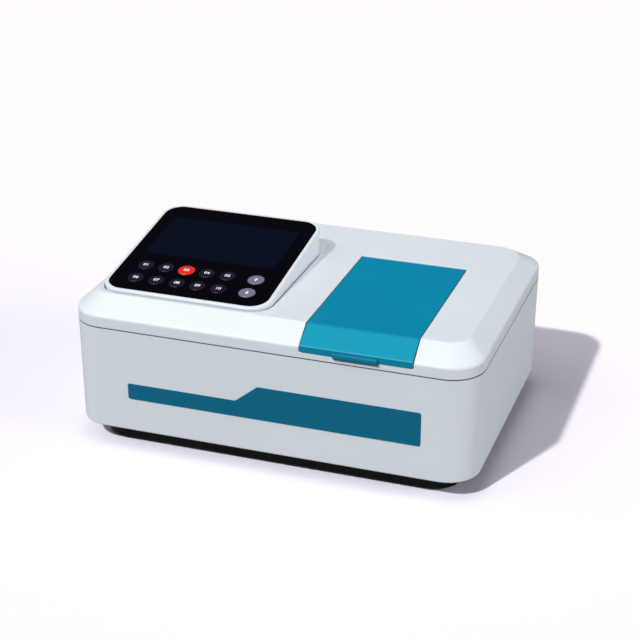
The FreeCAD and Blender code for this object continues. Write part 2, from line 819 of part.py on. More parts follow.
# The stripe: a thin bonded plate whose top edge steps up to a higher right-hand part.
def front_stripe():
    body = new_body("front_stripe", y="-case_depth / 2 + case_draft", z="case_bottom",
                    angle=CASE_DRAFT)
    rise = "(%s) - case_bottom"
    corners = [
        ("stripe_left", rise % "stripe_bottom", "stripe_corner"),
        ("stripe_right", rise % "stripe_bottom", "stripe_corner"),
        ("stripe_right", rise % "stripe_high_top", "stripe_corner"),
        ("stripe_step_right", rise % "stripe_high_top", "stripe_step_round"),
        ("stripe_step_left", rise % "stripe_low_top", "stripe_step_round"),
        ("stripe_left", rise % "stripe_low_top", "stripe_corner"),
    ]
    plate = sketch(body, "plate", "XZ", "0.02")
    pad(body, draw(plate, [corners]), "stripe_thickness")
    return body


# The lid: a skin that follows the cover's flat top and front slope, ends in a lip with a pull
# tab, carries a light baffle below and turns on a barrel at its rear edge.
def compartment_lid():
    body = new_body("compartment_lid", x="lid_x")
    crease = "(slope_front - case_depth / 2)"
    face = "(-case_depth / 2 - lid_front_reach)"
    skin = [
        ("lid_rear - barrel_radius", TOP),
        (crease, TOP),
        (face, "lid_lip_top", "lid_fold_round"),
        (face, "lid_lip_bottom"),
        (face + " + lid_wall", "lid_lip_bottom"),
        (face + " + lid_wall", "lid_lip_top - lid_wall"),
        (crease + " + lid_wall / 3", TOP + " - lid_wall"),
        ("lid_rear - barrel_radius", TOP + " - lid_wall"),
    ]
    side = sketch(body, "skin", "YZ")
    pad(body, draw(side, [skin]), "lid_width", middle=True)
    soften(body, "Fillet", "lid_lip_round", lip_corners())
    soften(body, "Fillet", "lid_edge_round", lid_rim())
    barrel = sketch(body, "barrel", "YZ")
    axis = ("lid_rear - barrel_radius", TOP + " - barrel_radius")
    pad(body, draw(barrel, circles=[axis + ("barrel_radius",)]), "lid_width", middle=True)
    tab = [
        (face + " + lid_wall / 3", "lid_lip_bottom + tab_rise"),
        (face + " - tab_reach", "lid_lip_bottom + tab_rise", "tab_round"),
        (face + " - tab_reach", "lid_lip_bottom + tab_drop / 5"),
        (face + " - tab_reach / 2", "lid_lip_bottom - tab_drop / 5"),
        (face + " - tab_reach / 2", "lid_lip_bottom - tab_drop"),
        (face + " + lid_front_reach / 4", "lid_lip_bottom - tab_drop"),
        (face + " + lid_front_reach / 4", "lid_lip_bottom + lid_edge_round + 0.1"),
        (face + " + lid_wall / 3", "lid_lip_bottom + lid_edge_round + 0.1"),
    ]
    grip = sketch(body, "tab", "YZ")
    pad(body, draw(grip, [tab]), "tab_width", middle=True)
    half = "(chamber_width / 2 - chamber_wall - baffle_gap - (%s))"
    reach = "(chamber_length / 2 - chamber_wall - baffle_gap - (%s))"

    def baffle(inset):
        return box_outline(minus(half % inset), half % inset, "chamber_mid_y - " + reach % inset,
                           "chamber_mid_y + " + reach % inset, "lid_corner - 0.4 * (%s)" % inset)
    skirt = sketch(body, "baffle", height=TOP + " - lid_wall / 2")
    pad(body, draw(skirt, [baffle("0"), baffle("baffle_wall")]), "baffle_depth + lid_wall / 2",
        reverse=True)
    bore = sketch(body, "bore", "YZ")
    pocket(body, draw(bore, circles=[axis + ("hinge_pin_radius + hinge_clearance",)]),
           "lid_width + 2", middle=True)
    return body


def lip_corners():
    """The test for the short edges across the lid's lip, at its two lower corners."""
    half, low, front = value("lid_width / 2"), value("lid_lip_bottom"), value("-case_depth / 2") + 4

    def test(edge):
        box = edge.BoundBox
        across = box.XMax - box.XMin < 1e-4 and box.ZMax - box.ZMin < 1e-4 and box.YMax < front
        return across and abs(box.ZMin - low) < 1e-4 and abs(abs(box.XMin) - half) < 1e-3
    return test


def lid_rim():
    """The test for edges round the lid's outer face, apart from its hinge end."""
    half = value("lid_width / 2 - lid_lip_round") - 0.01
    front, rear = value("-case_depth / 2 - lid_front_reach") + 1.2, value("lid_rear - barrel_radius")
    crease, top = value("slope_front - case_depth / 2"), value(TOP)
    slope = value("(%s - lid_lip_top) / (slope_front + lid_front_reach)" % TOP)

    def outside(vertex):
        at = vertex.Point
        if abs(at.x) < half:
            return False
        return at.y < front or at.z > top + min(0.0, (at.y - crease) * slope) - 0.8

    def test(edge):
        return edge.BoundBox.YMin < rear - 0.01 and all(outside(v) for v in edge.Vertexes)
    return test


# The lid's hinge pin, held by the cover's flange at both ends.
def lid_hinge_pin():
    body = new_body("lid_hinge_pin", x="lid_x", y="lid_rear - barrel_radius",
                    z=TOP + " - barrel_radius")
    pin = sketch(body, "pin", "YZ")
    pad(body, draw(pin, circles=[("0", "0", "hinge_pin_radius")]),
        "lid_width + 2 * lid_gap + 2 * flange_wall", middle=True)
    return body


# The sample chamber: a deep light-tight box with a rim, a sloped apron in front, two beam
# windows, and bosses in its end walls for the rods and the screw.
def sample_chamber():
    body = new_body("sample_chamber", x="lid_x", y="chamber_mid_y")
    rim = "(%s - lid_wall - seal_height - seal_gap)" % TOP
    outer = sketch(body, "walls", height=BENCH_TOP)
    pad(body, draw(outer, [centred("0", "0", "chamber_width", "chamber_length", "lid_corner")]),
        "%s - %s" % (rim, BENCH_TOP))
    flange = sketch(body, "rim", height=rim + " - chamber_rim_thickness")
    pad(body, draw(flange, [centred("0", "0", "chamber_width + 2 * chamber_rim",
                                    "chamber_length + 2 * chamber_rim", "lid_corner")]),
        "chamber_rim_thickness")
    start = "-chamber_length / 2"
    end = "(cover_wall + 0.35 - case_depth / 2 - chamber_mid_y)"
    apron = [
        (start + " + 1", rim),
        (start + " - chamber_rim", rim),
        (end + " + chamber_rim_thickness", rim + " - apron_drop"),
        (end, rim + " - apron_drop"),
        (end, rim + " - apron_drop - chamber_rim_thickness"),
        (end + " + chamber_rim_thickness * 1.4", rim + " - apron_drop - chamber_rim_thickness"),
        (start + " - chamber_rim * 0.6", rim + " - chamber_rim_thickness"),
        (start + " + 1", rim + " - chamber_rim_thickness"),
    ]
    slope = sketch(body, "apron", "YZ")
    pad(body, draw(slope, [apron]), "chamber_width", middle=True)
    hollow = sketch(body, "hollow", height=rim)
    pocket(body, draw(hollow, [centred("0", "0", "chamber_width - 2 * chamber_wall",
                                       "chamber_length - 2 * chamber_wall", "lid_corner")]),
           "%s - %s - chamber_wall" % (rim, BENCH_TOP))
    bosses = sketch(body, "rod_bosses", "XZ")
    spots = rod_spots()
    ends = "chamber_length - 2 * chamber_wall"
    pad(body, draw(bosses, circles=[(x, z, "rod_boss_radius") for x, z in spots]), ends, middle=True)
    clear = sketch(body, "rod_boss_cut", "XZ")
    cut = centred("0", "rod_height", "rod_spacing + 3 * rod_boss_radius", "3 * rod_boss_radius")
    pocket(body, draw(clear, [cut]), ends + " - 2 * chamber_wall", middle=True)
    holes = sketch(body, "rod_holes", "XZ")
    seats = [(x, z, "rod_radius + fit_clearance") for x, z in spots[:2]]
    seats.append(spots[2] + ("lead_screw_radius + slide_clearance",))
    pocket(body, draw(holes, circles=seats), "chamber_length + 2", middle=True)
    beam = sketch(body, "beam_holes", "YZ")
    pocket(body, draw(beam, circles=[("0", "beam_height", "window_radius")]),
           "chamber_width + 2", middle=True)
    return body


def rod_spots():
    """The two guide rods and the lead screw between them, as (x, height)."""
    return [("-rod_spacing / 2", "rod_height"), ("rod_spacing / 2", "rod_height"), ("0", "rod_height")]


# The two windows that let the beam through the chamber's side walls.
def beam_windows():
    body = new_body("beam_windows", x="lid_x", y="chamber_mid_y")
    for side, sign in (("left", "-"), ("right", "")):
        face = "%s(chamber_width / 2 - chamber_wall / 2)" % sign
        disc = sketch(body, side, "YZ", face)
        pad(body, draw(disc, circles=[("0", "beam_height", "window_radius - fit_clearance")]),
            "window_thickness", middle=True)
    return body


# A foam seal on the chamber's rim, just under the lid's skin.
def chamber_seal():
    body = new_body("chamber_seal", x="lid_x", y="chamber_mid_y")
    ring = sketch(body, "ring", height=TOP + " - lid_wall - seal_gap - seal_height")
    outer = centred("0", "0", "chamber_width + 2 * chamber_rim - 1",
                    "chamber_length + 2 * chamber_rim - 1", "lid_corner")
    inner = centred("0", "0", "chamber_width - chamber_wall", "chamber_length - chamber_wall", "lid_corner")
    pad(body, draw(ring, [outer, inner]), "seal_height")
    return body


# Two hardened rods that guide the cell carriage.
def guide_rods():
    body = new_body("guide_rods", x="lid_x", y="chamber_mid_y")
    rods = sketch(body, "rods", "XZ")
    pad(body, draw(rods, circles=[(x, z, "rod_radius") for x, z in rod_spots()[:2]]),
        "chamber_length", middle=True)
    return body


CARRIAGE_LENGTH = "(cell_count * cell_pitch + 2 * cell_wall)"
CARRIAGE_REST = "(chamber_front + chamber_wall + carriage_gap + cell_wall + cell_count * cell_pitch / 2)"


# The cell carriage: a base that runs on the rods and a holder block with square wells for the
# cells, light holes along the beam and a nut for the screw.
def cell_carriage():
    body = new_body("cell_carriage", x="lid_x", y=CARRIAGE_REST)
    low = "(rod_height - rod_radius - carriage_base / 2)"
    base = sketch(body, "base", height=low)
    pad(body, draw(base, [centred("0", "0", "rod_spacing + 5 * rod_radius", CARRIAGE_LENGTH, "rod_radius")]),
        "2 * rod_radius + carriage_base")
    block = sketch(body, "block", height=low)
    pad(body, draw(block, [centred("0", "0", "cell_size + 2 * cell_wall", CARRIAGE_LENGTH, "rod_radius")]),
        "carriage_height + carriage_base")
    top = "(%s + carriage_height + carriage_base)" % low
    wells = sketch(body, "wells", height=top)
    spots = cell_spots()
    pocket(body, draw(wells, [centred("0", y, "cell_size", "cell_size") for y in spots]), "cell_depth")
    light = sketch(body, "light_holes", "YZ")
    pocket(body, draw(light, circles=[(y, "beam_height", "aperture_radius") for y in spots]),
           "cell_size + 3 * cell_wall", middle=True)
    bores = sketch(body, "rod_bores", "XZ")
    holes = [(x, z, "rod_radius + slide_clearance") for x, z in rod_spots()[:2]]
    holes.append(rod_spots()[2] + ("lead_screw_radius + slide_clearance",))
    pocket(body, draw(bores, circles=holes), CARRIAGE_LENGTH + " + 2", middle=True)
    return body


def cell_spots():
    """The middles of the cell wells along the carriage."""
    count = int(round(value("cell_count")))
    return ["(%.1f) * cell_pitch" % (i - (count - 1) / 2) for i in range(count)]


# The lead screw: it runs the length of the chamber and into the motor behind it.
def carriage_screw():
    body = new_body("carriage_screw", x="lid_x", y="chamber_mid_y", z="rod_height")
    shaft = sketch(body, "shaft", "XZ", "chamber_length / 2")
    pad(body, draw(shaft, circles=[("0", "0", "lead_screw_radius")]),
        "chamber_length + motor_length * 0.8", reverse=True)
    return body


# The carriage motor: a square stepper on the chamber's rear wall.
def carriage_motor():
    body = new_body("carriage_motor", x="lid_x", y="chamber_mid_y + chamber_length / 2", z="rod_height")
    case = sketch(body, "case", "XZ")
    pad(body, draw(case, [centred("0", "0", "motor_size", "motor_size", "motor_corner")]),
        "motor_length", reverse=True)
    bore = sketch(body, "bore", "XZ")
    pocket(body, draw(bore, circles=[("0", "0", "lead_screw_radius + slide_clearance")]),
           "motor_length * 0.9", reverse=False)
    return body


CONSOLE = dict(x="panel_x", y="panel_front_y", z="panel_front_z", angle="panel_tilt")


def panel_outline(inset):
    """The front panel's outline in its own plane, from its front edge, drawn inwards."""
    half = "(panel_width / 2 - (%s))" % inset
    return box_outline(minus(half), half, inset, "panel_length - (%s)" % inset,
                       "panel_corner - (%s)" % inset)


# The bezel: a rounded white frame with a ledge that the front panel drops on.
def display_bezel():
    body = new_body("display_bezel", **CONSOLE)
    outer = sketch(body, "outer")
    pad(body, draw(outer, [panel_outline("-bezel_margin")]), "bezel_thickness", reverse=True)
    soften(body, "Fillet", "bezel_round", edges_at("0"))
    seat = sketch(body, "seat")
    pocket(body, draw(seat, [panel_outline("0")]), "panel_recess + panel_thickness")
    opening = sketch(body, "opening")
    pocket(body, draw(opening, [panel_outline("bezel_ledge")]), "bezel_thickness + 1")
    return body


# The front panel: one black plate over the screen, with a hole for each key.
def front_panel():
    body = new_body("front_panel", **CONSOLE)
    plate = sketch(body, "plate", height="-panel_recess")
    pad(body, draw(plate, [panel_outline("panel_gap")]), "panel_thickness", reverse=True)
    holes = sketch(body, "key_holes", height="-panel_recess")
    pocket(body, draw(holes, circles=[(x, y, radius + " + key_gap") for _, x, y, radius in key_places()]),
           "panel_thickness + 1")
    return body


def key_places():
    """Each key's name, its place on the panel and its radius."""
    keys = []
    for row, line in (("rear", "key_row_rear"), ("front", "key_row_front")):
        for column in range(5):
            name = "key_%s_%d" % (row, column + 1)
            radius = "key_radius"
            if row == "rear" and column == 2:
                name, radius = "red_key", "red_key_radius"
            keys.append((name, "key_first_x + %d * key_pitch" % column, line, radius))
    keys.append(("up_key", "arrow_key_x", "key_row_rear", "arrow_key_radius"))
    keys.append(("down_key", "arrow_key_x", "key_row_front", "arrow_key_radius"))
    return keys


UNDER_PANEL = "(panel_recess + panel_thickness)"


# A key: a cap that stands a little proud of the panel, a flange that holds it under the panel
# and a stem over the switch on the key board.
def key_cap(name, x, s, radius):
    depth = UNDER_PANEL + " + 0.1"
    run = "(%s) * cos(panel_tilt)" % s
    rise = "(%s) * sin(panel_tilt)" % s
    body = new_body(name, x="panel_x + " + x, y="panel_front_y + " + run,
                    z="panel_front_z + " + rise, angle="panel_tilt")
    cap = sketch(body, "cap", height=minus(depth))
    pad(body, draw(cap, circles=[("0", "0", radius)]), depth + " + key_proud - panel_recess")
    soften(body, "Chamfer", "key_edge", edges_at("key_proud - panel_recess"))
    flange = sketch(body, "flange", height=minus(depth))
    pad(body, draw(flange, circles=[("0", "0", radius + " + key_flange")]), "key_flange_thickness",
        reverse=True)
    stem = sketch(body, "stem", height="-(%s + key_flange_thickness)" % depth)
    pad(body, draw(stem, circles=[("0", "0", "key_stem_radius")]), "key_flange_thickness", reverse=True)
    return body


# The key board: a circuit board with one round switch under each key.
def key_board():
    body = new_body("key_board", **CONSOLE)
    plate = sketch(body, "plate", height="-board_depth")
    edge = box_outline("-panel_width / 2 + 2 * bezel_ledge", "panel_width / 2 - 2 * bezel_ledge",
                       "key_row_front - key_radius - key_flange",
                       "key_row_rear + key_radius + 2 * key_flange", "bezel_ledge")
    pad(body, draw(plate, [edge]), "board_thickness")
    switches = sketch(body, "switches", height="-board_depth + board_thickness")
    top = "(board_depth - board_thickness - %s - 0.1 - 2 * key_flange_thickness - key_travel - 0.1)"
    pad(body, draw(switches, circles=[(x, y, "key_stem_radius + 0.5") for _, x, y, _ in key_places()]),
        top % UNDER_PANEL)
    return body


# The screen module behind the front panel.
def display_screen():
    body = new_body("display_screen", **CONSOLE)
    block = sketch(body, "block", height="-board_depth")
    edge = box_outline("-screen_width / 2", "screen_width / 2", "screen_front",
                       "screen_front + screen_length", "bezel_ledge / 2")
    pad(body, draw(block, [edge]), "board_depth - %s - 0.05" % UNDER_PANEL)
    return body


# The console shell: a wedge-shaped tub with upright walls, open at the front where the tilt
# hinges sit, with posts for the boards and ears for the hinge pins.
def display_shell():
    body = new_body("display_shell", x="panel_x", y="panel_front_y", z="panel_front_z")
    bottom = "(shell_bottom - panel_front_z)"

    def plan(inset):
        half = "(panel_width / 2 + bezel_margin - shell_inset - (%s))" % inset
        front = "(shell_inset + (%s) - bezel_margin * cos(panel_tilt) + bezel_thickness * sin(panel_tilt))"
        rear = "((panel_length + bezel_margin) * cos(panel_tilt) - shell_inset - (%s))"
        return box_outline(minus(half), half, front % inset, rear % inset,
                           "panel_corner + bezel_margin - shell_inset - (%s)" % inset)

    def under(depth):
        """Everything above a plane parallel to the panel at a depth below it."""
        ends = ("-panel_length / 5", "panel_length * 1.3")
        low = "(%s) * tan(panel_tilt) - (%s) / cos(panel_tilt)"
        tall = "panel_length"
        return [(ends[0], low % (ends[0], depth)), (ends[1], low % (ends[1], depth)),
                (ends[1], tall), (ends[0], tall)]
    posts = sketch(body, "posts", height=bottom)
    pad(body, draw(posts, circles=[(x, y, "console_post_radius") for x, y in console_posts()]),
        "panel_length / 4")
    level = sketch(body, "post_tops", "YZ")
    pocket(body, draw(level, [under("board_depth")]), "panel_width * 1.5", middle=True)
    walls = sketch(body, "walls", height=bottom)
    pad(body, draw(walls, [plan("0"), plan("shell_wall")]), "panel_length / 4")
    floor = sketch(body, "floor", height=bottom)
    pad(body, draw(floor, [plan("shell_wall / 2")]), "shell_wall")
    for side in ("-", ""):
        notch = sketch(body, "hinge_notch" + ("_left" if side else "_right"), height=bottom)
        width = "(tilt_barrel_width + 2 * tilt_ear_gap + 2 * tilt_ear_thickness)"
        front = "-bezel_margin * 1.5"
        rear = "(tilt_axis_y + 2.2 * tilt_barrel_radius)"
        middle = "%stilt_hinge_x" % side
        edge = box_outline("%s - %s / 2" % (middle, width), "%s + %s / 2" % (middle, width), front, rear)
        pocket(body, draw(notch, [edge]), "panel_length / 4", reverse=True)
    ears = sketch(body, "ears", "XY", bottom)
    ear_outlines = []
    for side in ("-", ""):
        for hand in ("-", "+"):
            middle = "%stilt_hinge_x %s (tilt_barrel_width / 2 + tilt_ear_gap + tilt_ear_thickness / 2)"
            ear_outlines.append(box_outline(
                (middle + " - tilt_ear_thickness / 2") % (side, hand),
                (middle + " + tilt_ear_thickness / 2") % (side, hand),
                "tilt_axis_y - tilt_barrel_radius",
                "tilt_axis_y + 2.2 * tilt_barrel_radius + shell_wall"))
    pad(body, draw(ears, ear_outlines), "panel_length / 10")
    trim = sketch(body, "wall_tops", "YZ")
    pocket(body, draw(trim, [under("bezel_thickness + 0.02")]), "panel_width * 1.5", middle=True)
    holes = sketch(body, "pin_holes", "YZ")
    pocket(body, draw(holes, circles=[("tilt_axis_y", "-tilt_axis_drop",
                                       "tilt_pin_radius + fit_clearance")]),
           "2 * tilt_hinge_x + tilt_barrel_width + 4 * tilt_ear_thickness", middle=True)
    return body


def console_posts():
    """Where the shell's posts stand: four under the key board and four under the screen."""
    x = "(panel_width / 2 - 6 * bezel_ledge)"
    rows = ("key_row_front", "key_row_rear", "screen_front + screen_length / 5",
            "screen_front + screen_length * 0.8")
    places = []
    for index, row in enumerate(rows):
        across = x if index < 2 else "(screen_width / 2 - 2 * bezel_ledge)"
        for side in ("-", ""):
            places.append((side + across, "(%s) * cos(panel_tilt)" % row))
    return places


# Two hinge pins that turn with the console.
def tilt_pins():
    body = new_body("tilt_pins", x="panel_x", y="panel_front_y + tilt_axis_y",
                    z="panel_front_z - tilt_axis_drop")
    for name, side in (("left", "-"), ("right", "")):
        pin = sketch(body, name, "YZ", side + "tilt_hinge_x")
        pad(body, draw(pin, circles=[("0", "0", "tilt_pin_radius")]),
            "tilt_barrel_width + 2 * tilt_ear_gap + 2 * tilt_ear_thickness", middle=True)
    return body


# Two hinge brackets: a leaf on the recess's front wall, an arm and a barrel round the pin.
def tilt_brackets():
    body = new_body("tilt_brackets", x="panel_x", y="panel_front_y", z="panel_front_z")
    wall = "(-bezel_margin - recess_front_gap)"
    arm_low = "(-tilt_axis_drop - tilt_barrel_radius - tilt_arm_thickness * 0.8)"
    leaf = [
        (wall, arm_low + " - tilt_leaf_length"),
        (wall + " + tilt_leaf_thickness", arm_low + " - tilt_leaf_length"),
        (wall + " + tilt_leaf_thickness", arm_low),
        ("tilt_axis_y", arm_low),
        ("tilt_axis_y", arm_low + " + tilt_arm_thickness"),
        (wall, arm_low + " + tilt_arm_thickness"),
    ]
    for name, side in (("left", "-"), ("right", "")):
        plate = sketch(body, name + "_leaf", "YZ", side + "tilt_hinge_x")
        pad(body, draw(plate, [leaf]), "tilt_barrel_width", middle=True)
        barrel = sketch(body, name + "_barrel", "YZ", side + "tilt_hinge_x")
        pad(body, draw(barrel, circles=[("tilt_axis_y", "-tilt_axis_drop", "tilt_barrel_radius")]),
            "tilt_barrel_width", middle=True)
    bore = sketch(body, "bores", "YZ")
    pocket(body, draw(bore, circles=[("tilt_axis_y", "-tilt_axis_drop",
                                      "tilt_pin_radius + hinge_clearance")]),
           "2 * tilt_hinge_x + 2 * tilt_barrel_width", middle=True)
    return body


# The optical bench: a cast plate on short legs that ties the optics together.
def optical_bench():
    body = new_body("optical_bench")
    plate = sketch(body, "plate", height=FLOOR + " + bench_lift")
    pad(body, draw(plate, [box_outline("bench_left", "bench_right", "bench_front", "bench_rear",
                                       "bench_corner")]), "bench_thickness")
    notches = sketch(body, "post_notches", height=FLOOR + " + bench_lift")
    post = "post_inset - post_radius - bench_clearance"
    side = "(case_width / 2 - %s)" % post
    front = "-(case_depth / 2 - %s)" % post
    edges = [box_outline(minus("case_width / 2"), minus(side), "-case_depth / 2", front),
             box_outline(side, "case_width / 2", "-case_depth / 2", front)]
    pocket(body, draw(notches, edges), "bench_thickness", reverse=True)
    legs = sketch(body, "legs", height=FLOOR)
    inset = "(bench_leg_radius + 4)"
    side = "(case_width / 2 - %s - bench_leg_radius - 1)" % post
    spots = [(x, y) for x in (minus(side), "(bench_left + bench_right) / 2", side)
             for y in ("bench_front + " + inset, "bench_rear - " + inset)]
    pad(body, draw(legs, circles=[(x, y, "bench_leg_radius") for x, y in spots]), "bench_lift")
    return body


# The monochromator housing: an open-topped casting with a hole for each slit and a short
# snout that meets the sample chamber.
def monochromator_housing():
    body = new_body("monochromator_housing")
    outer = sketch(body, "walls", height=BENCH_TOP)
    pad(body, draw(outer, [box_outline("mono_left", "mono_right", "mono_front", "mono_rear",
                                       "mono_wall")]), "mono_height")
    snout = sketch(body, "snout", "YZ", "mono_right - mono_wall / 2")
    reach = "lid_x - chamber_width / 2 - 0.3 - mono_right + mono_wall / 2"
    pad(body, draw(snout, circles=[("chamber_mid_y", "beam_height", "window_radius + mono_wall")]), reach)
    inner = sketch(body, "hollow", height=BENCH_TOP + " + mono_height")
    w = "mono_wall"
    pocket(body, draw(inner, [box_outline("mono_left + " + w, "mono_right - " + w,
                                          "mono_front + " + w, "mono_rear - " + w, w)]),
           "mono_height - mono_wall")
    exit_hole = sketch(body, "exit_hole", "YZ", "mono_right - 2 * mono_wall")
    pocket(body, draw(exit_hole, circles=[("chamber_mid_y", "beam_height", "window_radius")]),
           "mono_wall * 2 + 10", reverse=True)
    entry = sketch(body, "entry_hole", "XZ", "-mono_rear - mono_wall")
    pocket(body, draw(entry, circles=[("slit_x", "beam_height", "window_radius")]),
           "mono_wall * 3", reverse=True)
    bearing = sketch(body, "table_bearing", height=BENCH_TOP)
    pocket(body, draw(bearing, circles=[("grating_x", "grating_y", "shaft_radius + slide_clearance")]),
           "2 * mono_wall", reverse=True)
    return body


# The monochromator's lid, with a hole for the grating shaft.
def monochromator_cover():
    body = new_body("monochromator_cover")
    plate = sketch(body, "plate", height=BENCH_TOP + " + mono_height")
    pad(body, draw(plate, [box_outline("mono_left", "mono_right", "mono_front", "mono_rear",
                                       "mono_wall")],
                   circles=[("grating_x", "grating_y", "shaft_radius + 1")]),
        "mono_cover_thickness")
    return body


# Two slit plates on the inner faces of the monochromator's walls.
def slit_plates():
    body = new_body("slit_plates")
    exit_plate = sketch(body, "exit", "YZ", "mono_right - mono_wall")
    size = "slit_plate_size"
    pad(body, draw(exit_plate, [centred("chamber_mid_y", "beam_height", size, size),
                                centred("chamber_mid_y", "beam_height", "slit_width", "slit_height")]),
        "slit_plate_thickness", reverse=True)
    entry = sketch(body, "entry", "XZ", "-(mono_rear - mono_wall)")
    pad(body, draw(entry, [centred("slit_x", "beam_height", size, size),
                           centred("slit_x", "beam_height", "slit_width", "slit_height")]),
        "slit_plate_thickness")
    return body


# Two concave mirrors on posts: one collimates the beam, one focuses it on the exit slit.
def mirrors():
    body = new_body("mirrors")
    for name, x, y in (("collimator", "slit_x - 20", "mono_front + mono_wall + 14"),
                       ("focuser", "mono_left + mono_wall + 16", "chamber_mid_y")):
        post = sketch(body, name + "_post", height=BENCH_TOP + " + mono_wall")
        pad(body, draw(post, [centred(x, y, "mirror_thickness", "mirror_radius")]),
            "beam_height - mirror_radius / 2 - (%s + mono_wall)" % BENCH_TOP)
        disc = sketch(body, name, "YZ", x)
        pad(body, draw(disc, circles=[(y, "beam_height", "mirror_radius / 2 + 4")]),
            "mirror_thickness", middle=True)
    return body


# The grating table: a disc on a shaft that runs from the housing's floor to the motor.
def grating_table():
    body = new_body("grating_table", x="grating_x", y="grating_y")
    shaft = sketch(body, "shaft", height=BENCH_TOP + " + 0.3")
    pad(body, draw(shaft, circles=[("0", "0", "shaft_radius")]),
        "mono_height + mono_cover_thickness + grating_motor_length * 0.7")
    disc = sketch(body, "disc", height=BENCH_TOP + " + mono_wall + table_lift")
    pad(body, draw(disc, circles=[("0", "0", "table_radius")]), "table_thickness")
    return body


# The ruled grating, clamped on the table in front of the shaft.
def grating():
    body = new_body("grating", x="grating_x", y="grating_y")
    block = sketch(body, "block", height=BENCH_TOP + " + mono_wall + table_lift + table_thickness")
    pad(body, draw(block, [box_outline("-grating_size / 2", "grating_size / 2", "shaft_radius + 1",
                                       "shaft_radius + 1 + grating_thickness")]), "grating_size")
    return body


# A flat stepper on the monochromator's lid that turns the grating table.
def grating_motor():
    body = new_body("grating_motor", x="grating_x", y="grating_y",
                    z=BENCH_TOP + " + mono_height + mono_cover_thickness")
    case = sketch(body, "case")
    pad(body, draw(case, [centred("0", "0", "grating_motor_size", "grating_motor_size",
                                  "motor_corner")]), "grating_motor_length")
    bore = sketch(body, "bore")
    pocket(body, draw(bore, circles=[("0", "0", "shaft_radius + slide_clearance")]),
           "grating_motor_length * 0.85", reverse=True)
    return body


FILTER_Y = "(mono_rear + filter_gap)"


# The filter wheel: a disc with a ring of round seats, on a short shaft.
def filter_wheel():
    body = new_body("filter_wheel", x="slit_x + filter_offset", y=FILTER_Y, z="beam_height")
    disc = sketch(body, "disc", "XZ")
    pad(body, draw(disc, circles=[("0", "0", "filter_radius")]), "filter_thickness", reverse=True)
    hole = sketch(body, "seat", "XZ")
    first = pocket(body, draw(hole, circles=[("-filter_offset", "0", "filter_hole_radius")]),
                   "filter_thickness + 1", reverse=False)
    repeat_round(body, first, "Y", "filter_count")
    shaft = sketch(body, "shaft", "XZ", "-filter_thickness")
    pad(body, draw(shaft, circles=[("0", "0", "shaft_radius / 2")]),
        "filter_gap + filter_bracket + filter_motor_length * 0.6", reverse=True)
    return body


# The filter wheel's motor on its upright bracket, which stands on the bench.
def filter_motor():
    body = new_body("filter_motor", x="slit_x + filter_offset",
                    y=FILTER_Y + " + filter_thickness + filter_gap")
    plate = sketch(body, "bracket", "XZ")
    edge = box_outline("-filter_offset - 2 * window_radius", "filter_motor_radius + 6",
                       FLOOR, "beam_height + filter_radius")
    pad(body, draw(plate, [edge]), "filter_bracket", reverse=True)
    light = sketch(body, "light_hole", "XZ")
    pocket(body, draw(light, circles=[("-filter_offset", "beam_height", "window_radius"),
                                      ("0", "beam_height", "shaft_radius")]),
           "filter_bracket + 1", reverse=False)
    motor = sketch(body, "motor", "XZ", "-filter_bracket")
    pad(body, draw(motor, circles=[("0", "beam_height", "filter_motor_radius")]),
        "filter_motor_length", reverse=True)
    bore = sketch(body, "bore", "XZ")
    pocket(body, draw(bore, circles=[("0", "beam_height", "shaft_radius / 2 + slide_clearance")]),
           "filter_bracket + filter_motor_length * 0.8", reverse=False)
    return body


# The lamp house: a sheet box with a light port in front, open at the back for the fan.
def lamp_house():
    body = new_body("lamp_house", x="slit_x", y="lamp_house_front")
    outer = sketch(body, "walls", height=FLOOR)
    half = "lamp_house_width / 2"
    pad(body, draw(outer, [box_outline(minus(half), half, "0", "lamp_house_length")]), "lamp_house_height")
    inner = sketch(body, "hollow", height=FLOOR + " + lamp_house_wall")
    w = "lamp_house_wall"
    pocket(body, draw(inner, [box_outline("-%s + %s" % (half, w), "%s - %s" % (half, w), w,
                                          "lamp_house_length + 1")]),
           "lamp_house_height - 2 * lamp_house_wall", reverse=True)
    port = sketch(body, "port", "XZ", "1")
    pocket(body, draw(port, circles=[("0", "beam_height", "window_radius")]),
           "lamp_house_wall + 2", reverse=False)
    return body


# The ceramic lamp socket on a post in the lamp house.
def lamp_socket():
    body = new_body("lamp_socket", x="slit_x", y="lamp_house_front + lamp_house_length / 2")
    post = sketch(body, "post", height=FLOOR + " + lamp_house_wall")
    top = "(beam_height - lamp_length / 2 - socket_height)"
    pad(body, draw(post, circles=[("0", "0", "socket_radius / 2")]),
        "%s - (%s + lamp_house_wall)" % (top, FLOOR))
    head = sketch(body, "head", height=top)
    pad(body, draw(head, circles=[("0", "0", "socket_radius")]), "socket_height")
    return body


# The halogen lamp: a glass envelope that stands in the socket.
def halogen_lamp():
    body = new_body("halogen_lamp", x="slit_x", y="lamp_house_front + lamp_house_length / 2",
                    z="beam_height - lamp_length / 2")
    side = sketch(body, "envelope", "XZ")
    half = "lamp_radius"
    draw(side, [[("0", "0"), (half, "0"), (half, "lamp_length - lamp_radius / 2", "lamp_radius / 3"),
                 ("lamp_radius / 4", "lamp_length"), ("0", "lamp_length")]])
    revolve(body, side, "Z")
    return body


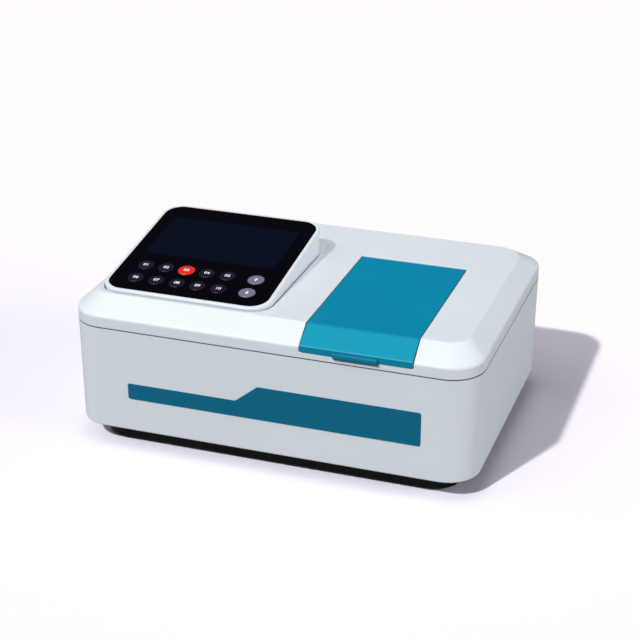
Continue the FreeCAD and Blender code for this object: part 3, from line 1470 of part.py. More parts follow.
# The detector housing beside the chamber, with a light hole in line with the beam.
def detector_housing():
    body = new_body("detector_housing", x="lid_x + chamber_width / 2 + 0.3", y="chamber_mid_y")
    outer = sketch(body, "walls", height=BENCH_TOP)
    half = "detector_length / 2"
    pad(body, draw(outer, [box_outline("0", "detector_width", minus(half), half)]), "detector_height")
    inner = sketch(body, "hollow", height=BENCH_TOP + " + detector_wall")
    w = "detector_wall"
    pocket(body, draw(inner, [box_outline(w, "detector_width + 1", "-%s + %s" % (half, w),
                                          "%s - %s" % (half, w))]),
           "detector_height - 2 * detector_wall", reverse=True)
    port = sketch(body, "port", "YZ", "-1")
    pocket(body, draw(port, circles=[("0", "beam_height", "aperture_radius * 1.5")]),
           "detector_wall + 2", reverse=True)
    return body


# The detector board, which closes the housing and carries the photodiode.
def detector_board():
    body = new_body("detector_board", x="lid_x + chamber_width / 2 + 0.3 + detector_width",
                    y="chamber_mid_y")
    plate = sketch(body, "plate", "YZ")
    edge = box_outline("-detector_length / 2", "detector_length / 2", BENCH_TOP,
                       BENCH_TOP + " + detector_height")
    pad(body, draw(plate, [edge]), "board_thickness")
    diode = sketch(body, "diode", "YZ")
    pad(body, draw(diode, circles=[("0", "beam_height", "aperture_radius * 1.5")]),
        "detector_width / 3", reverse=True)
    return body


# The main board on its stands, with a processor, two capacitors and a connector block.
def main_board():
    body = new_body("main_board", z=FLOOR + " + board_stand")
    plate = sketch(body, "plate")
    edge = box_outline("main_board_left", "main_board_right", "main_board_front", "main_board_rear")
    pad(body, draw(plate, [edge]), "board_thickness")
    chips = sketch(body, "chips", height="board_thickness")
    x, y = "(main_board_left + main_board_right) / 2", "(main_board_front + main_board_rear) / 2"
    pad(body, draw(chips, [centred(x, y, "20", "20"), centred(x + " + 40", y, "12", "18"),
                           centred(x + " - 50", y + " - 12", "40", "9")]), "board_thickness * 1.5")
    cans = sketch(body, "capacitors", height="board_thickness")
    pad(body, draw(cans, circles=[(x + " + 62", y + " + 10", "5"), (x + " + 76", y + " + 10", "5")]),
        "board_thickness * 8")
    return body


# The power supply: a folded cage with a slotted top over its circuit.
def power_supply():
    body = new_body("power_supply")
    cage = sketch(body, "cage", height=FLOOR)
    pad(body, draw(cage, [box_outline("supply_left", "supply_right", "supply_front", "supply_rear")]),
        "supply_height")
    hollow = sketch(body, "hollow", height=FLOOR)
    w = "supply_wall"
    pocket(body, draw(hollow, [box_outline("supply_left + " + w, "supply_right - " + w,
                                           "supply_front + " + w, "supply_rear - " + w)]),
           "supply_height - supply_wall", reverse=True)
    slots = sketch(body, "slots", height=FLOOR + " + supply_height + 1")
    middle = "(supply_left + supply_right) / 2"
    lines = [centred("%s + (%d)" % (middle, 12 * i), "(supply_front + supply_rear) / 2", "5",
                     "(supply_rear - supply_front) * 0.7") for i in range(-3, 4)]
    pocket(body, draw(slots, lines), "supply_wall + 2")
    return body


# The supply's circuit board with its transformer and two reservoir capacitors.
def supply_board():
    body = new_body("supply_board", x="(supply_left + supply_right) / 2",
                    y="(supply_front + supply_rear) / 2", z=FLOOR)
    stands = sketch(body, "stands")
    inset_x = "((supply_right - supply_left) / 2 - 3 * supply_wall - 2)"
    inset_y = "((supply_rear - supply_front) / 2 - 3 * supply_wall - 2)"
    spots = [(a + inset_x, b + inset_y, "2.5") for a in ("-", "") for b in ("-", "")]
    pad(body, draw(stands, circles=spots), "board_stand")
    plate = sketch(body, "plate", height="board_stand")
    pad(body, draw(plate, [centred("0", "0", "supply_right - supply_left - 4 * supply_wall",
                                   "supply_rear - supply_front - 4 * supply_wall")]), "board_thickness")
    coil = sketch(body, "transformer", height="board_stand + board_thickness")
    pad(body, draw(coil, [centred("-12", "6", "30", "26", "2")]), "supply_height / 2")
    cans = sketch(body, "capacitors", height="board_stand + board_thickness")
    pad(body, draw(cans, circles=[("24", "-14", "9"), ("24", "12", "9")]), "supply_height * 0.55")
    return body


# The rear panel: a folded plate behind the case's window with cut-outs for its fittings and a
# stamped grille over the fan.
def rear_panel():
    body = new_body("rear_panel", y=REAR_SEAT)
    plate = sketch(body, "plate", "XZ")
    edge = centred("0", "(window_low + window_high) / 2", "window_width + land_width",
                   "window_high - window_low + land_width", "rear_panel_corner")
    cuts = [
        centred("inlet_x", "inlet_height", "inlet_width + 0.2", "inlet_body_height + 0.2"),
        centred("switch_x", "inlet_height", "switch_width + 0.2", "switch_height + 0.2"),
        centred("serial_x", "port_height", "serial_width + 0.2", "serial_tall + 0.2", "2"),
        centred("usb_x", "port_height", "usb_width + 0.2", "usb_tall + 0.2"),
        centred("usb_x + usb_spacing", "port_height", "usb_width + 0.2", "usb_tall + 0.2"),
    ]
    pad(body, draw(plate, [edge] + cuts), "rear_panel_thickness")
    slot = sketch(body, "grille", "XZ", "-1")
    grille(body, slot)
    return body


def grille(body, drawing):
    """A ring of round holes over the fan, in rows."""
    holes = [("fan_x", "fan_height", "3")]
    for ring, count in ((9, 6), (17, 12), (25, 18)):
        for i in range(count):
            angle = 360.0 * i / count
            holes.append(("fan_x + %d * cos(%.1f)" % (ring, angle),
                          "fan_height + %d * sin(%.1f)" % (ring, angle), "2.8"))
    return pocket(body, draw(drawing, circles=holes), "rear_panel_thickness + 2", reverse=True)


# The fan frame: a square duct with a motor cup held by three struts.
def fan_frame():
    body = new_body("fan_frame", x="fan_x", y=REAR_SEAT + " - rear_panel_thickness", z="fan_height")
    square = sketch(body, "square", "XZ")
    pad(body, draw(square, [centred("0", "0", "fan_size", "fan_size", "motor_corner")]), "fan_depth")
    duct = sketch(body, "duct", "XZ", "-1")
    pocket(body, draw(duct, circles=[("0", "0", "fan_duct_radius")]), "fan_depth + 2", reverse=True)
    cup = sketch(body, "cup", "XZ", "fan_depth - 3")
    pad(body, draw(cup, circles=[("0", "0", "fan_hub_radius")]), "3")
    strut = sketch(body, "strut", "XZ", "fan_depth - 3")
    first = pad(body, draw(strut, [box_outline("-2", "2", "fan_hub_radius - 2", "fan_duct_radius + 0.5")]),
                "3")
    repeat_round(body, first, "Y", "3")
    holes = sketch(body, "holes", "XZ", "-1")
    half = "fan_hole_spacing / 2"
    spots = [(a + half, b + half, "fan_hole_radius") for a in ("-", "") for b in ("-", "")]
    pocket(body, draw(holes, circles=spots), "fan_depth + 2", reverse=True)
    axle = sketch(body, "axle_hole", "XZ", "fan_depth - 5")
    pocket(body, draw(axle, circles=[("0", "0", "shaft_radius / 2 + slide_clearance")]), "6", reverse=True)
    return body


# The fan rotor: a hub, a ring of pitched blades and an axle in the frame's cup.
def fan_rotor():
    body = new_body("fan_rotor", x="fan_x", y=REAR_SEAT + " - rear_panel_thickness", z="fan_height")
    hub = sketch(body, "hub", "XZ", "2")
    pad(body, draw(hub, circles=[("0", "0", "fan_hub_radius")]), "fan_depth - 6")
    axle = sketch(body, "axle", "XZ", "fan_depth - 4.5")
    pad(body, draw(axle, circles=[("0", "0", "shaft_radius / 2")]), "4")
    root = draw(sketch(body, "blade_root", "XY", "fan_hub_radius - 1"), [blade_section(8, 5)])
    tip = draw(sketch(body, "blade_tip", "XY", "fan_blade_radius"), [blade_section(6, 8)])
    repeat_round(body, loft(body, root, tip), "Y", "fan_blade_count")
    return body


def blade_section(rise, run):
    """A pitched blade's section: long across the duct, thin round it."""
    middle = "(fan_depth / 2 - 1)"
    thick = "fan_blade_thickness / 2"
    return [("-%d - %s" % (run, thick), "-%s - %d" % (middle, rise)),
            ("-%d + %s" % (run, thick), "-%s - %d" % (middle, rise)),
            ("%d + %s" % (run, thick), "-%s + %d" % (middle, rise)),
            ("%d - %s" % (run, thick), "-%s + %d" % (middle, rise))]


# The mains inlet: a flanged block with a socket that holds three pins, over a fuse bay.
def mains_inlet():
    body = new_body("mains_inlet", x="inlet_x", y=REAR_SEAT, z="inlet_height")
    flange = sketch(body, "flange", "XZ")
    pad(body, draw(flange, [centred("0", "0", "inlet_width + 2 * inlet_flange",
                                    "inlet_body_height + 2 * inlet_flange", "2")]),
        "inlet_flange_thickness", reverse=True)
    block = sketch(body, "block", "XZ")
    pad(body, draw(block, [centred("0", "0", "inlet_width", "inlet_body_height")]), "inlet_body_depth")
    socket = sketch(body, "socket", "XZ", "-inlet_flange_thickness - 1")
    pocket(body, draw(socket, [centred("0", "inlet_socket_height / 2", "inlet_socket_width",
                                       "inlet_socket_height", "2.5")]),
           "inlet_socket_depth + 1", reverse=True)
    pins = sketch(body, "pins", "XZ", "inlet_socket_depth - inlet_flange_thickness")
    height = "inlet_socket_height / 2"
    pad(body, draw(pins, [centred("-7", height + " - 2", "2", "4"), centred("7", height + " - 2", "2", "4"),
                          centred("0", height + " + 2", "2", "4")]),
        "inlet_socket_depth - 5", reverse=True)
    bay = sketch(body, "fuse_bay", "XZ", "-inlet_flange_thickness - 1")
    pocket(body, draw(bay, [centred("0", "-inlet_body_height / 2 + fuse_height / 2 + 3",
                                    "fuse_width + 2 * fuse_clearance",
                                    "fuse_height + 2 * fuse_clearance")]),
           "fuse_length + 2", reverse=True)
    return body


# The fuse drawer: it slides straight out of the inlet's bay by its grip.
def fuse_drawer():
    body = new_body("fuse_drawer", x="inlet_x", y=REAR_SEAT + " + inlet_flange_thickness",
                    z="inlet_height - inlet_body_height / 2 + fuse_height / 2 + 3")
    block = sketch(body, "block", "XZ")
    pad(body, draw(block, [centred("0", "0", "fuse_width", "fuse_height")]), "fuse_length")
    bed = sketch(body, "fuse_bed", height="fuse_height / 2")
    pocket(body, draw(bed, [box_outline("-fuse_width / 2 + 3", "fuse_width / 2 - 3", "-fuse_length + 3",
                                        "-5")]), "fuse_height * 0.7")
    grip = sketch(body, "grip", "XZ")
    pad(body, draw(grip, [centred("0", "0", "fuse_width * 0.6", "2")]), "1.5", reverse=True)
    return body


# The power switch: a flanged frame round the rocker.
def power_switch():
    body = new_body("power_switch", x="switch_x", y=REAR_SEAT, z="inlet_height")
    flange = sketch(body, "flange", "XZ")
    pad(body, draw(flange, [centred("0", "0", "switch_width + 2 * switch_flange",
                                    "switch_height + 2 * switch_flange", "1")]),
        "inlet_flange_thickness", reverse=True)
    block = sketch(body, "block", "XZ")
    pad(body, draw(block, [centred("0", "0", "switch_width", "switch_height")]), "switch_depth")
    well = sketch(body, "well", "XZ", "-inlet_flange_thickness - 1")
    pocket(body, draw(well, [centred("0", "0", "switch_width - 3", "switch_height - 2")]),
           "inlet_flange_thickness + 10", reverse=True)
    axle = sketch(body, "axle_hole", "YZ")
    pocket(body, draw(axle, circles=[("-3", "0", "1 + slide_clearance")]), "switch_width - 1.4",
           middle=True)
    return body


# The rocker: a shallow V-faced key on an axle, stored in its off position.
def power_rocker():
    body = new_body("power_rocker", x="switch_x", y=REAR_SEAT + " - 3", z="inlet_height",
                    angle="rocker_tilt")
    side = sketch(body, "side", "YZ")
    half = "(switch_height / 2 - 2)"
    draw(side, [[("-2", "-3"), ("-2", "3"), ("3", half), ("6.5", half), ("5", "0"), ("6.5", minus(half)),
                 ("3", minus(half))]])
    pad(body, side, "switch_width - 4", middle=True)
    axle = sketch(body, "axle", "YZ")
    pad(body, draw(axle, circles=[("0", "0", "1")]), "switch_width - 1.6", middle=True)
    return body


# The data ports: a serial socket and two flat sockets, each a metal shell behind the panel.
def data_ports():
    body = new_body("data_ports", y=REAR_SEAT, z="port_height")
    shells = sketch(body, "shells", "XZ", "-1")
    pad(body, draw(shells, [centred("usb_x", "0", "usb_width", "usb_tall"),
                            centred("usb_x + usb_spacing", "0", "usb_width", "usb_tall")]), "usb_depth")
    serial = sketch(body, "serial", "XZ", "-5")
    pad(body, draw(serial, [centred("serial_x", "0", "serial_width", "serial_tall", "2")]), "serial_depth")
    mouths = sketch(body, "mouths", "XZ", "-1")
    pocket(body, draw(mouths, [centred("usb_x", "0", "usb_width - 1", "usb_tall - 1"),
                               centred("usb_x + usb_spacing", "0", "usb_width - 1", "usb_tall - 1")]),
           "usb_depth - 4", reverse=True)
    ring = sketch(body, "serial_mouth", "XZ", "-5")
    pocket(body, draw(ring, [centred("serial_x", "0", "serial_width - 1.2", "serial_tall - 1.2", "1.5")]),
           "5", reverse=True)
    return body


BUILDERS = [
    base_chassis, rubber_feet, lower_case, upper_cover, case_screws, front_stripe,
    compartment_lid, lid_hinge_pin, sample_chamber, chamber_seal, beam_windows,
    guide_rods, cell_carriage, carriage_screw, carriage_motor,
    display_bezel, front_panel, display_screen, key_board, display_shell, tilt_pins, tilt_brackets,
    optical_bench, monochromator_housing, monochromator_cover, slit_plates, mirrors,
    grating_table, grating, grating_motor, filter_wheel, filter_motor,
    lamp_house, lamp_socket, halogen_lamp, detector_housing, detector_board,
    main_board, power_supply, supply_board, rear_panel, fan_frame, fan_rotor,
    mains_inlet, fuse_drawer, power_switch, power_rocker, data_ports,
]

pieces = []
for build in BUILDERS:
    pieces.append(build())
for key in key_places():
    pieces.append(key_cap(*key))

doc.recompute()
faults = [o.Name for o in doc.Objects if "Invalid" in o.State or "Error" in o.State]
for piece in pieces:
    if piece.Shape.isNull() or not piece.Shape.isValid():
        faults.append(piece.Label)
if faults:
    raise RuntimeError("not built: " + ", ".join(faults))

os.makedirs("parts", exist_ok=True)
for piece in pieces:
    piece.Shape.exportStep("parts/%s.step" % piece.Label)
    print("%-24s %d solids, %.1f cm3" % (piece.Label, len(piece.Shape.Solids), piece.Shape.Volume / 1000))
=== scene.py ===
import math

import bmesh
import bpy
from mathutils import Matrix, Vector


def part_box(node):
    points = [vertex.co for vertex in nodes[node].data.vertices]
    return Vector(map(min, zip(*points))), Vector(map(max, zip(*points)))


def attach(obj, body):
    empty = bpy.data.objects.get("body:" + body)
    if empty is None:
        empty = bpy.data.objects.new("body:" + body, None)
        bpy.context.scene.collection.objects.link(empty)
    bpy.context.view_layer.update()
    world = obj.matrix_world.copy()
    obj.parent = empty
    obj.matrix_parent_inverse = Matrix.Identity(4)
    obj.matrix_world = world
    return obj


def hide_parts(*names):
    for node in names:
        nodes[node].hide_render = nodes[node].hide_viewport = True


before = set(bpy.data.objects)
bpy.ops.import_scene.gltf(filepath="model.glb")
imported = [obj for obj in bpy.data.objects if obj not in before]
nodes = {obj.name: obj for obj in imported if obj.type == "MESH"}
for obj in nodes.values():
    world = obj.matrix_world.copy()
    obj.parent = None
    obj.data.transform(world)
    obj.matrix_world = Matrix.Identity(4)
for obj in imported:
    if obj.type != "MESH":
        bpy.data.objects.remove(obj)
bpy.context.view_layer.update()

# The studio: a plain pale floor under a dim overhead sky. A key light high in front on the left
# throws the shadow back and to the right, a broad one fills in beside it, one hangs straight
# above, and a low one on the right lifts that side of the case.
def new_material(name, colour, roughness, metallic=0.0):
    """A material with a Principled shader, and the shader itself."""
    material = bpy.data.materials.new(name)
    material.use_nodes = True
    shader = material.node_tree.nodes["Principled BSDF"]
    shader.inputs["Base Color"].default_value = (*colour, 1.0)
    shader.inputs["Roughness"].default_value = roughness
    shader.inputs["Metallic"].default_value = metallic
    material.diffuse_color = (*colour, 1.0)
    return material, shader


def add_object(name, mesh):
    piece = bpy.data.objects.new(name, mesh)
    bpy.context.scene.collection.objects.link(piece)
    return piece


def two_tones(tree, factor, first, second):
    """One colour where factor is 0, another where it is 1, each plain or from a socket."""
    mix = tree.nodes.new("ShaderNodeMix")
    mix.data_type = "RGBA"
    for label, colour in (("A", first), ("B", second)):
        if isinstance(colour, bpy.types.NodeSocket):
            tree.links.new(colour, mix.inputs[label])
        else:
            mix.inputs[label].default_value = (*colour, 1.0)
    tree.links.new(factor, mix.inputs["Factor"])
    return mix.outputs["Result"]


def one_step(tree, operation, first, second):
    """A Math node on sockets or plain numbers."""
    node = tree.nodes.new("ShaderNodeMath")
    node.operation = operation
    for socket, value in zip(node.inputs, (first, second)):
        if isinstance(value, bpy.types.NodeSocket):
            tree.links.new(value, socket)
        else:
            socket.default_value = value
    return node.outputs[0]


scene = bpy.context.scene
scene.view_settings.view_transform = "Standard"

floor_side, floor_front, floor_rear = 9, -9, 14
floor_seen, floor_bounced = (0.93, 0.89, 0.99), (0.25, 0.25, 0.26)
floor_mesh = bpy.data.meshes.new("studio_floor")
floor_mesh.from_pydata(
    [(-floor_side, floor_front, 0), (floor_side, floor_front, 0),
     (floor_side, floor_rear, 0), (-floor_side, floor_rear, 0)], [], [(0, 1, 2, 3)])
studio_floor = add_object("studio_floor", floor_mesh)
floor_paint, floor_shader = new_material("pale_floor", floor_seen, 0.85)
floor_tree = floor_paint.node_tree
floor_path = floor_tree.nodes.new("ShaderNodeLightPath")
floor_tree.links.new(
    two_tones(floor_tree, floor_path.outputs["Is Camera Ray"], floor_bounced, floor_seen),
    floor_shader.inputs["Base Color"])
floor_shader.inputs["Specular IOR Level"].default_value = 0.1
floor_mesh.materials.append(floor_paint)

surround = bpy.data.worlds.new("surround")
scene.world = surround
surround.use_nodes = True
sky = surround.node_tree
sky_side = sky.nodes.new("ShaderNodeSeparateXYZ")
sky.links.new(sky.nodes.new("ShaderNodeTexCoord").outputs["Generated"], sky_side.inputs["Vector"])
upward = one_step(sky, "MAXIMUM", sky_side.outputs["Z"], 0.0)
frontward = one_step(sky, "MAXIMUM", one_step(sky, "MULTIPLY", sky_side.outputs["Y"], -1.0), 0.0)
soft_sky = two_tones(sky, upward, (0.0, 0.0, 0.0), (0.15, 0.15, 0.155))
seen_in_gloss = two_tones(sky, frontward, (0.03, 0.03, 0.034), (0.5, 0.5, 0.52))
sky_path = sky.nodes.new("ShaderNodeLightPath")
sky_light = two_tones(sky, sky_path.outputs["Is Glossy Ray"], soft_sky, seen_in_gloss)
backdrop = two_tones(sky, sky_path.outputs["Is Camera Ray"], sky_light, (0.98, 0.96, 1.0))
sky.links.new(backdrop, sky.nodes["Background"].inputs["Color"])


def sun_light(name, travels, energy, angle, colour=(1.0, 1.0, 1.0)):
    """A distant light that shines along travels, angle degrees wide."""
    light = bpy.data.lights.new(name, "SUN")
    light.energy = energy
    light.angle = math.radians(angle)
    light.color = colour
    lamp = add_object(name, light)
    lamp.rotation_euler = Vector(travels).to_track_quat("-Z", "Y").to_euler()
    return lamp


key_travels, key_angle = (0.376, 0.897, -1.0), 2.5
sun_light("key_light", key_travels, 1.33, key_angle)
key_light_over_console = sun_light("key_light_over_console", key_travels, 1.40, key_angle)
sun_light("broad_fill", (0.8, 0.3, -1.0), 0.71, 50.0, (0.98, 1.0, 1.0))
sun_light("overhead_light", (0.0, 0.0, -1.0), 0.24, 10.0)
low_right_light = sun_light("low_right_light", (-1.0, 0.0, -0.12), 2.63, 50.0, (1.0, 0.97, 1.0))
low_right_light.visible_glossy = False

# The console's pieces block only the first of the two key lights, so that their shadow on the
# case is as faint as it is in the photograph.
console_pieces = bpy.data.collections.new("no_hard_shadow_from_the_console")
for name in nodes:
    if name in ("display_shell", "display_bezel", "display_screen", "front_panel") or "key" in name:
        console_pieces.objects.link(bpy.data.objects[name])
for member in console_pieces.collection_objects:
    member.light_linking.link_state = "EXCLUDE"
key_light_over_console.light_linking.blocker_collection = console_pieces

camera_data = bpy.data.cameras.new("camera")
camera_data.sensor_width = 36.0
camera_data.lens = 90.46
camera_data.clip_end = 60.0
camera = add_object("camera", camera_data)
camera.matrix_world = (
    Matrix.Translation((0.548387, -1.580579, 0.875992))
    @ Matrix.Rotation(math.radians(18.9183), 4, "Z")
    @ Matrix.Rotation(math.radians(90.0 - 24.5591), 4, "X")
    @ Matrix.Rotation(math.radians(0.0973), 4, "Z")
)
scene.camera = camera


# The white case: two injection-moulded shells with a fine spark-eroded grain that keeps
# fingermarks from showing. The console's bezel and shell come from the same material.
def texture_group(name, outputs):
    """A node group with Scale and Depth inputs and the outputs named."""
    group = bpy.data.node_groups.new(name, "ShaderNodeTree")
    for label, start in (("Scale", 1.0), ("Depth", 1.0)):
        socket = group.interface.new_socket(label, in_out="INPUT", socket_type="NodeSocketFloat")
        socket.default_value = start
    for label in outputs:
        group.interface.new_socket(label, in_out="OUTPUT", socket_type="NodeSocketFloat")
    entry = group.nodes.new("NodeGroupInput")
    leave = group.nodes.new("NodeGroupOutput")
    place = group.nodes.new("ShaderNodeTexCoord")
    return group, entry, leave, place


def group_noise(group, place, entry, factor, detail):
    """Noise on Object coordinates at factor times the group's Scale."""
    times = group.nodes.new("ShaderNodeMath")
    times.operation = "MULTIPLY"
    times.inputs[1].default_value = factor
    group.links.new(entry.outputs["Scale"], times.inputs[0])
    noise = group.nodes.new("ShaderNodeTexNoise")
    noise.inputs["Detail"].default_value = detail
    group.links.new(place.outputs["Object"], noise.inputs["Vector"])
    group.links.new(times.outputs[0], noise.inputs["Scale"])
    return noise.outputs["Fac"]


grain, grain_in, grain_out, grain_place = texture_group("moulded_grain", ["Height", "Mottle"])
fine = group_noise(grain, grain_place, grain_in, 1.0, 3.0)
broad = group_noise(grain, grain_place, grain_in, 0.006, 2.0)
deep = grain.nodes.new("ShaderNodeMath")
deep.operation = "MULTIPLY"
grain.links.new(fine, deep.inputs[0])
grain.links.new(grain_in.outputs["Depth"], deep.inputs[1])
grain.links.new(deep.outputs[0], grain_out.inputs["Height"])
speck = grain.nodes.new("ShaderNodeMix")
speck.inputs["Factor"].default_value = 0.45
grain.links.new(fine, speck.inputs["A"])
grain.links.new(broad, speck.inputs["B"])
grain.links.new(speck.outputs["Result"], grain_out.inputs["Mottle"])


def spread(material, value, low, high):
    """A value of about 0.3 to 0.7 carried to low and high."""
    span = material.node_tree.nodes.new("ShaderNodeMapRange")
    span.inputs["From Min"].default_value = 0.3
    span.inputs["From Max"].default_value = 0.7
    span.inputs["To Min"].default_value = low
    span.inputs["To Max"].default_value = high
    material.node_tree.links.new(value, span.inputs["Value"])
    return span.outputs["Result"]


def moulded(name, dark, light, rough, scale=900.0, distance=0.00006):
    """Moulded plastic: a fine grain in the surface and a slight unevenness of tone and sheen."""
    middle = [(a + b) / 2 for a, b in zip(dark, light)]
    material, shader = new_material(name, middle, sum(rough) / 2)
    tree = material.node_tree
    surface = tree.nodes.new("ShaderNodeGroup")
    surface.node_tree = grain
    surface.inputs["Scale"].default_value = scale
    mottle = surface.outputs["Mottle"]
    tree.links.new(two_tones(tree, spread(material, mottle, 0.0, 1.0), dark, light),
                   shader.inputs["Base Color"])
    tree.links.new(spread(material, mottle, *rough), shader.inputs["Roughness"])
    relief = tree.nodes.new("ShaderNodeBump")
    relief.inputs["Strength"].default_value = 1.0
    relief.inputs["Distance"].default_value = distance
    tree.links.new(surface.outputs["Height"], relief.inputs["Height"])
    tree.links.new(relief.outputs["Normal"], shader.inputs["Normal"])
    return material, shader


def dress(material, *names):
    """Give CAD nodes a material in place of their plain one."""
    for name in names:
        mesh = nodes[name].data
        mesh.materials.clear()
        mesh.materials.append(material)


def within(tree, value, middle, half, soft):
    """1 inside middle plus or minus half, falling to 0 over soft."""
    off = one_step(tree, "ABSOLUTE", one_step(tree, "SUBTRACT", value, middle), 0.0)
    edge = tree.nodes.new("ShaderNodeMapRange")
    edge.inputs["From Min"].default_value = half - soft
    edge.inputs["From Max"].default_value = half + soft
    edge.inputs["To Min"].default_value = 1.0
    edge.inputs["To Max"].default_value = 0.0
    tree.links.new(off, edge.inputs["Value"])
    return edge.outputs["Result"]


case_light, case_dark, case_rough = (0.71, 0.765, 0.805), (0.665, 0.72, 0.76), (0.42, 0.55)
case_white, _ = moulded("case_white", case_dark, case_light, case_rough)
dress(case_white, "display_bezel", "display_shell")

# The two case halves: the same white moulding, with painted shade on the walls of the lid's opening
# below its edge, so that the gap beside the lid shows dark, and a line of painted shade where the
# halves meet.
case_halves, halves_shader = moulded("case_halves", case_dark, case_light, case_rough)
tree = case_halves.node_tree
spot = tree.nodes.new("ShaderNodeSeparateXYZ")
tree.links.new(tree.nodes.new("ShaderNodeTexCoord").outputs["Object"], spot.inputs["Vector"])
lid_low, lid_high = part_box("compartment_lid")
lid_middle, lid_half = (lid_low + lid_high) / 2, (lid_high - lid_low) / 2
seam_height = 0.00965
seam_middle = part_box("upper_cover")[0].z + seam_height
rim_middle = 0.165
lid_gap, rim_overlap, rim_depth, rim_soft = 0.0009, 0.0003, 0.0007, 0.0003
beside = within(tree, spot.outputs["X"], lid_middle.x, lid_half.x + lid_gap, 0.0001)
behind = within(tree, spot.outputs["Y"], lid_middle.y, lid_half.y - rim_overlap, rim_soft)
below = within(tree, spot.outputs["Z"], rim_middle, lid_high.z - rim_middle - rim_depth, rim_soft)
# Painted shade: the opening's walls beside the lid, below its edge, are darkened in the colour.
opening_gap_shade = one_step(tree, "MULTIPLY", one_step(tree, "MULTIPLY", beside, behind), below)
# Painted shade: a dark band along the line where the two halves meet.
seam_half, seam_shade_share = 0.0008, 0.75
seam_shade_band = within(tree, spot.outputs["Z"], seam_middle, seam_half, 0.0002)
seam_shade = one_step(tree, "MULTIPLY", seam_shade_band, seam_shade_share)
shade = two_tones(tree, one_step(tree, "MAXIMUM", opening_gap_shade, seam_shade),
                  (1.0, 1.0, 1.0), (0.02, 0.02, 0.022))
paint = tree.nodes.new("ShaderNodeMix")
paint.data_type = "RGBA"
paint.blend_type = "MULTIPLY"
paint.inputs["Factor"].default_value = 1.0
tree.links.new(halves_shader.inputs["Base Color"].links[0].from_socket, paint.inputs["A"])
tree.links.new(shade, paint.inputs["B"])
tree.links.new(paint.outputs["Result"], halves_shader.inputs["Base Color"])
dress(case_halves, "lower_case", "upper_cover")

# The chassis tray: a black moulding, glossy outside, that lifts the case off the bench, on
# four rubber feet pushed into it from below.
tray_black, tray_shader = moulded(
    "tray_black", (0.003, 0.003, 0.004), (0.006, 0.006, 0.008), (0.16, 0.28))
tray_shader.inputs["Specular IOR Level"].default_value = 0.3
dress(tray_black, "base_chassis")
foot_rubber, _ = moulded(
    "foot_rubber", (0.02, 0.02, 0.02), (0.04, 0.04, 0.04), (0.7, 0.9), 500.0)
dress(foot_rubber, "rubber_feet")

# The front stripe: a thin blue plate of plastic, cut to a stepped outline and bonded to the
# case's front wall. A satin film over its colour keeps scratches off.
stripe_blue, stripe_shader = moulded(
    "stripe_blue", (0.002, 0.125, 0.225), (0.003, 0.138, 0.245), (0.4, 0.5), 1500.0)
stripe_shader.inputs["Specular IOR Level"].default_value = 0.12
dress(stripe_blue, "front_stripe")

# The lid: a blue moulding with the same grain as the case, which swings up on a steel pin. Its
# front slope is painted a lighter blue and its lip a darker one, as painted light and shade, and a
# painted highlight runs along the fold above its lip.
lid_blue, lid_shader = moulded(
    "lid_blue", (0.002, 0.212, 0.36), (0.003, 0.235, 0.395), (0.4, 0.5))
lid_shader.inputs["Specular IOR Level"].default_value = 0.12
slope_lit_blue, lip_shaded_blue, fold_highlight_blue = (0.002, 0.272, 0.405), (0.002, 0.178, 0.290), (0.09, 0.42, 0.55)
slope_middle, slope_half = -0.1510, 0.0115
lip_middle, lip_half = -0.1670, 0.0040
fold_height, fold_half, fold_highlight_share = 0.15845, 0.0005, 0.7
tree = lid_blue.node_tree
lid_spot = tree.nodes.new("ShaderNodeSeparateXYZ")
tree.links.new(tree.nodes.new("ShaderNodeTexCoord").outputs["Object"], lid_spot.inputs["Vector"])
# Painted light and shade: the front slope is painted lighter and the lip darker than the lid's top.
lit_slope_mask = within(tree, lid_spot.outputs["Y"], slope_middle, slope_half, 0.0006)
lip = within(tree, lid_spot.outputs["Y"], lip_middle, lip_half, 0.0006)
# Painted highlight: a thin pale line along the fold above the lip.
fold_highlight = one_step(tree, "MULTIPLY",
                within(tree, lid_spot.outputs["Z"], fold_height, fold_half, 0.0002), fold_highlight_share)
blue = lid_shader.inputs["Base Color"].links[0].from_socket
for zone, colour in ((lit_slope_mask, slope_lit_blue), (lip, lip_shaded_blue), (fold_highlight, fold_highlight_blue)):
    blue = two_tones(tree, zone, blue, colour)
tree.links.new(blue, lid_shader.inputs["Base Color"])
dress(lid_blue, "compartment_lid")

# The front panel: one sheet of clear plastic printed black behind, with a window for the
# screen, which shows as a very dark blue field when it is off.
panel_x, panel_y, panel_z = -0.10705, -0.128525, 0.17836
screen_x, screen_y = -0.00105, 0.1232
screen_half_width, screen_half_length = 0.0773, 0.0431
panel_tilt = math.radians(8.15)
panel_black, panel_shader = new_material("panel_black", (0.003, 0.003, 0.006), 0.06)
tree = panel_black.node_tree
where = tree.nodes.new("ShaderNodeTexCoord")
flat = tree.nodes.new("ShaderNodeMapping")
flat.vector_type = "TEXTURE"
flat.inputs["Location"].default_value = (panel_x, panel_y, panel_z)
flat.inputs["Rotation"].default_value = (panel_tilt, 0.0, 0.0)
tree.links.new(where.outputs["Object"], flat.inputs["Vector"])
parts = tree.nodes.new("ShaderNodeSeparateXYZ")
tree.links.new(flat.outputs["Vector"], parts.inputs["Vector"])
across = within(tree, parts.outputs["X"], screen_x, screen_half_width, 0.0004)
along = within(tree, parts.outputs["Y"], screen_y, screen_half_length, 0.0004)
window = one_step(tree, "MULTIPLY", across, along)
tree.links.new(two_tones(tree, window, (0.0008, 0.0006, 0.0024), (0.0008, 0.0033, 0.012)),
               panel_shader.inputs["Base Color"])
panel_shader.inputs["Specular IOR Level"].default_value = 0.35
dress(panel_black, "front_panel", "display_screen")

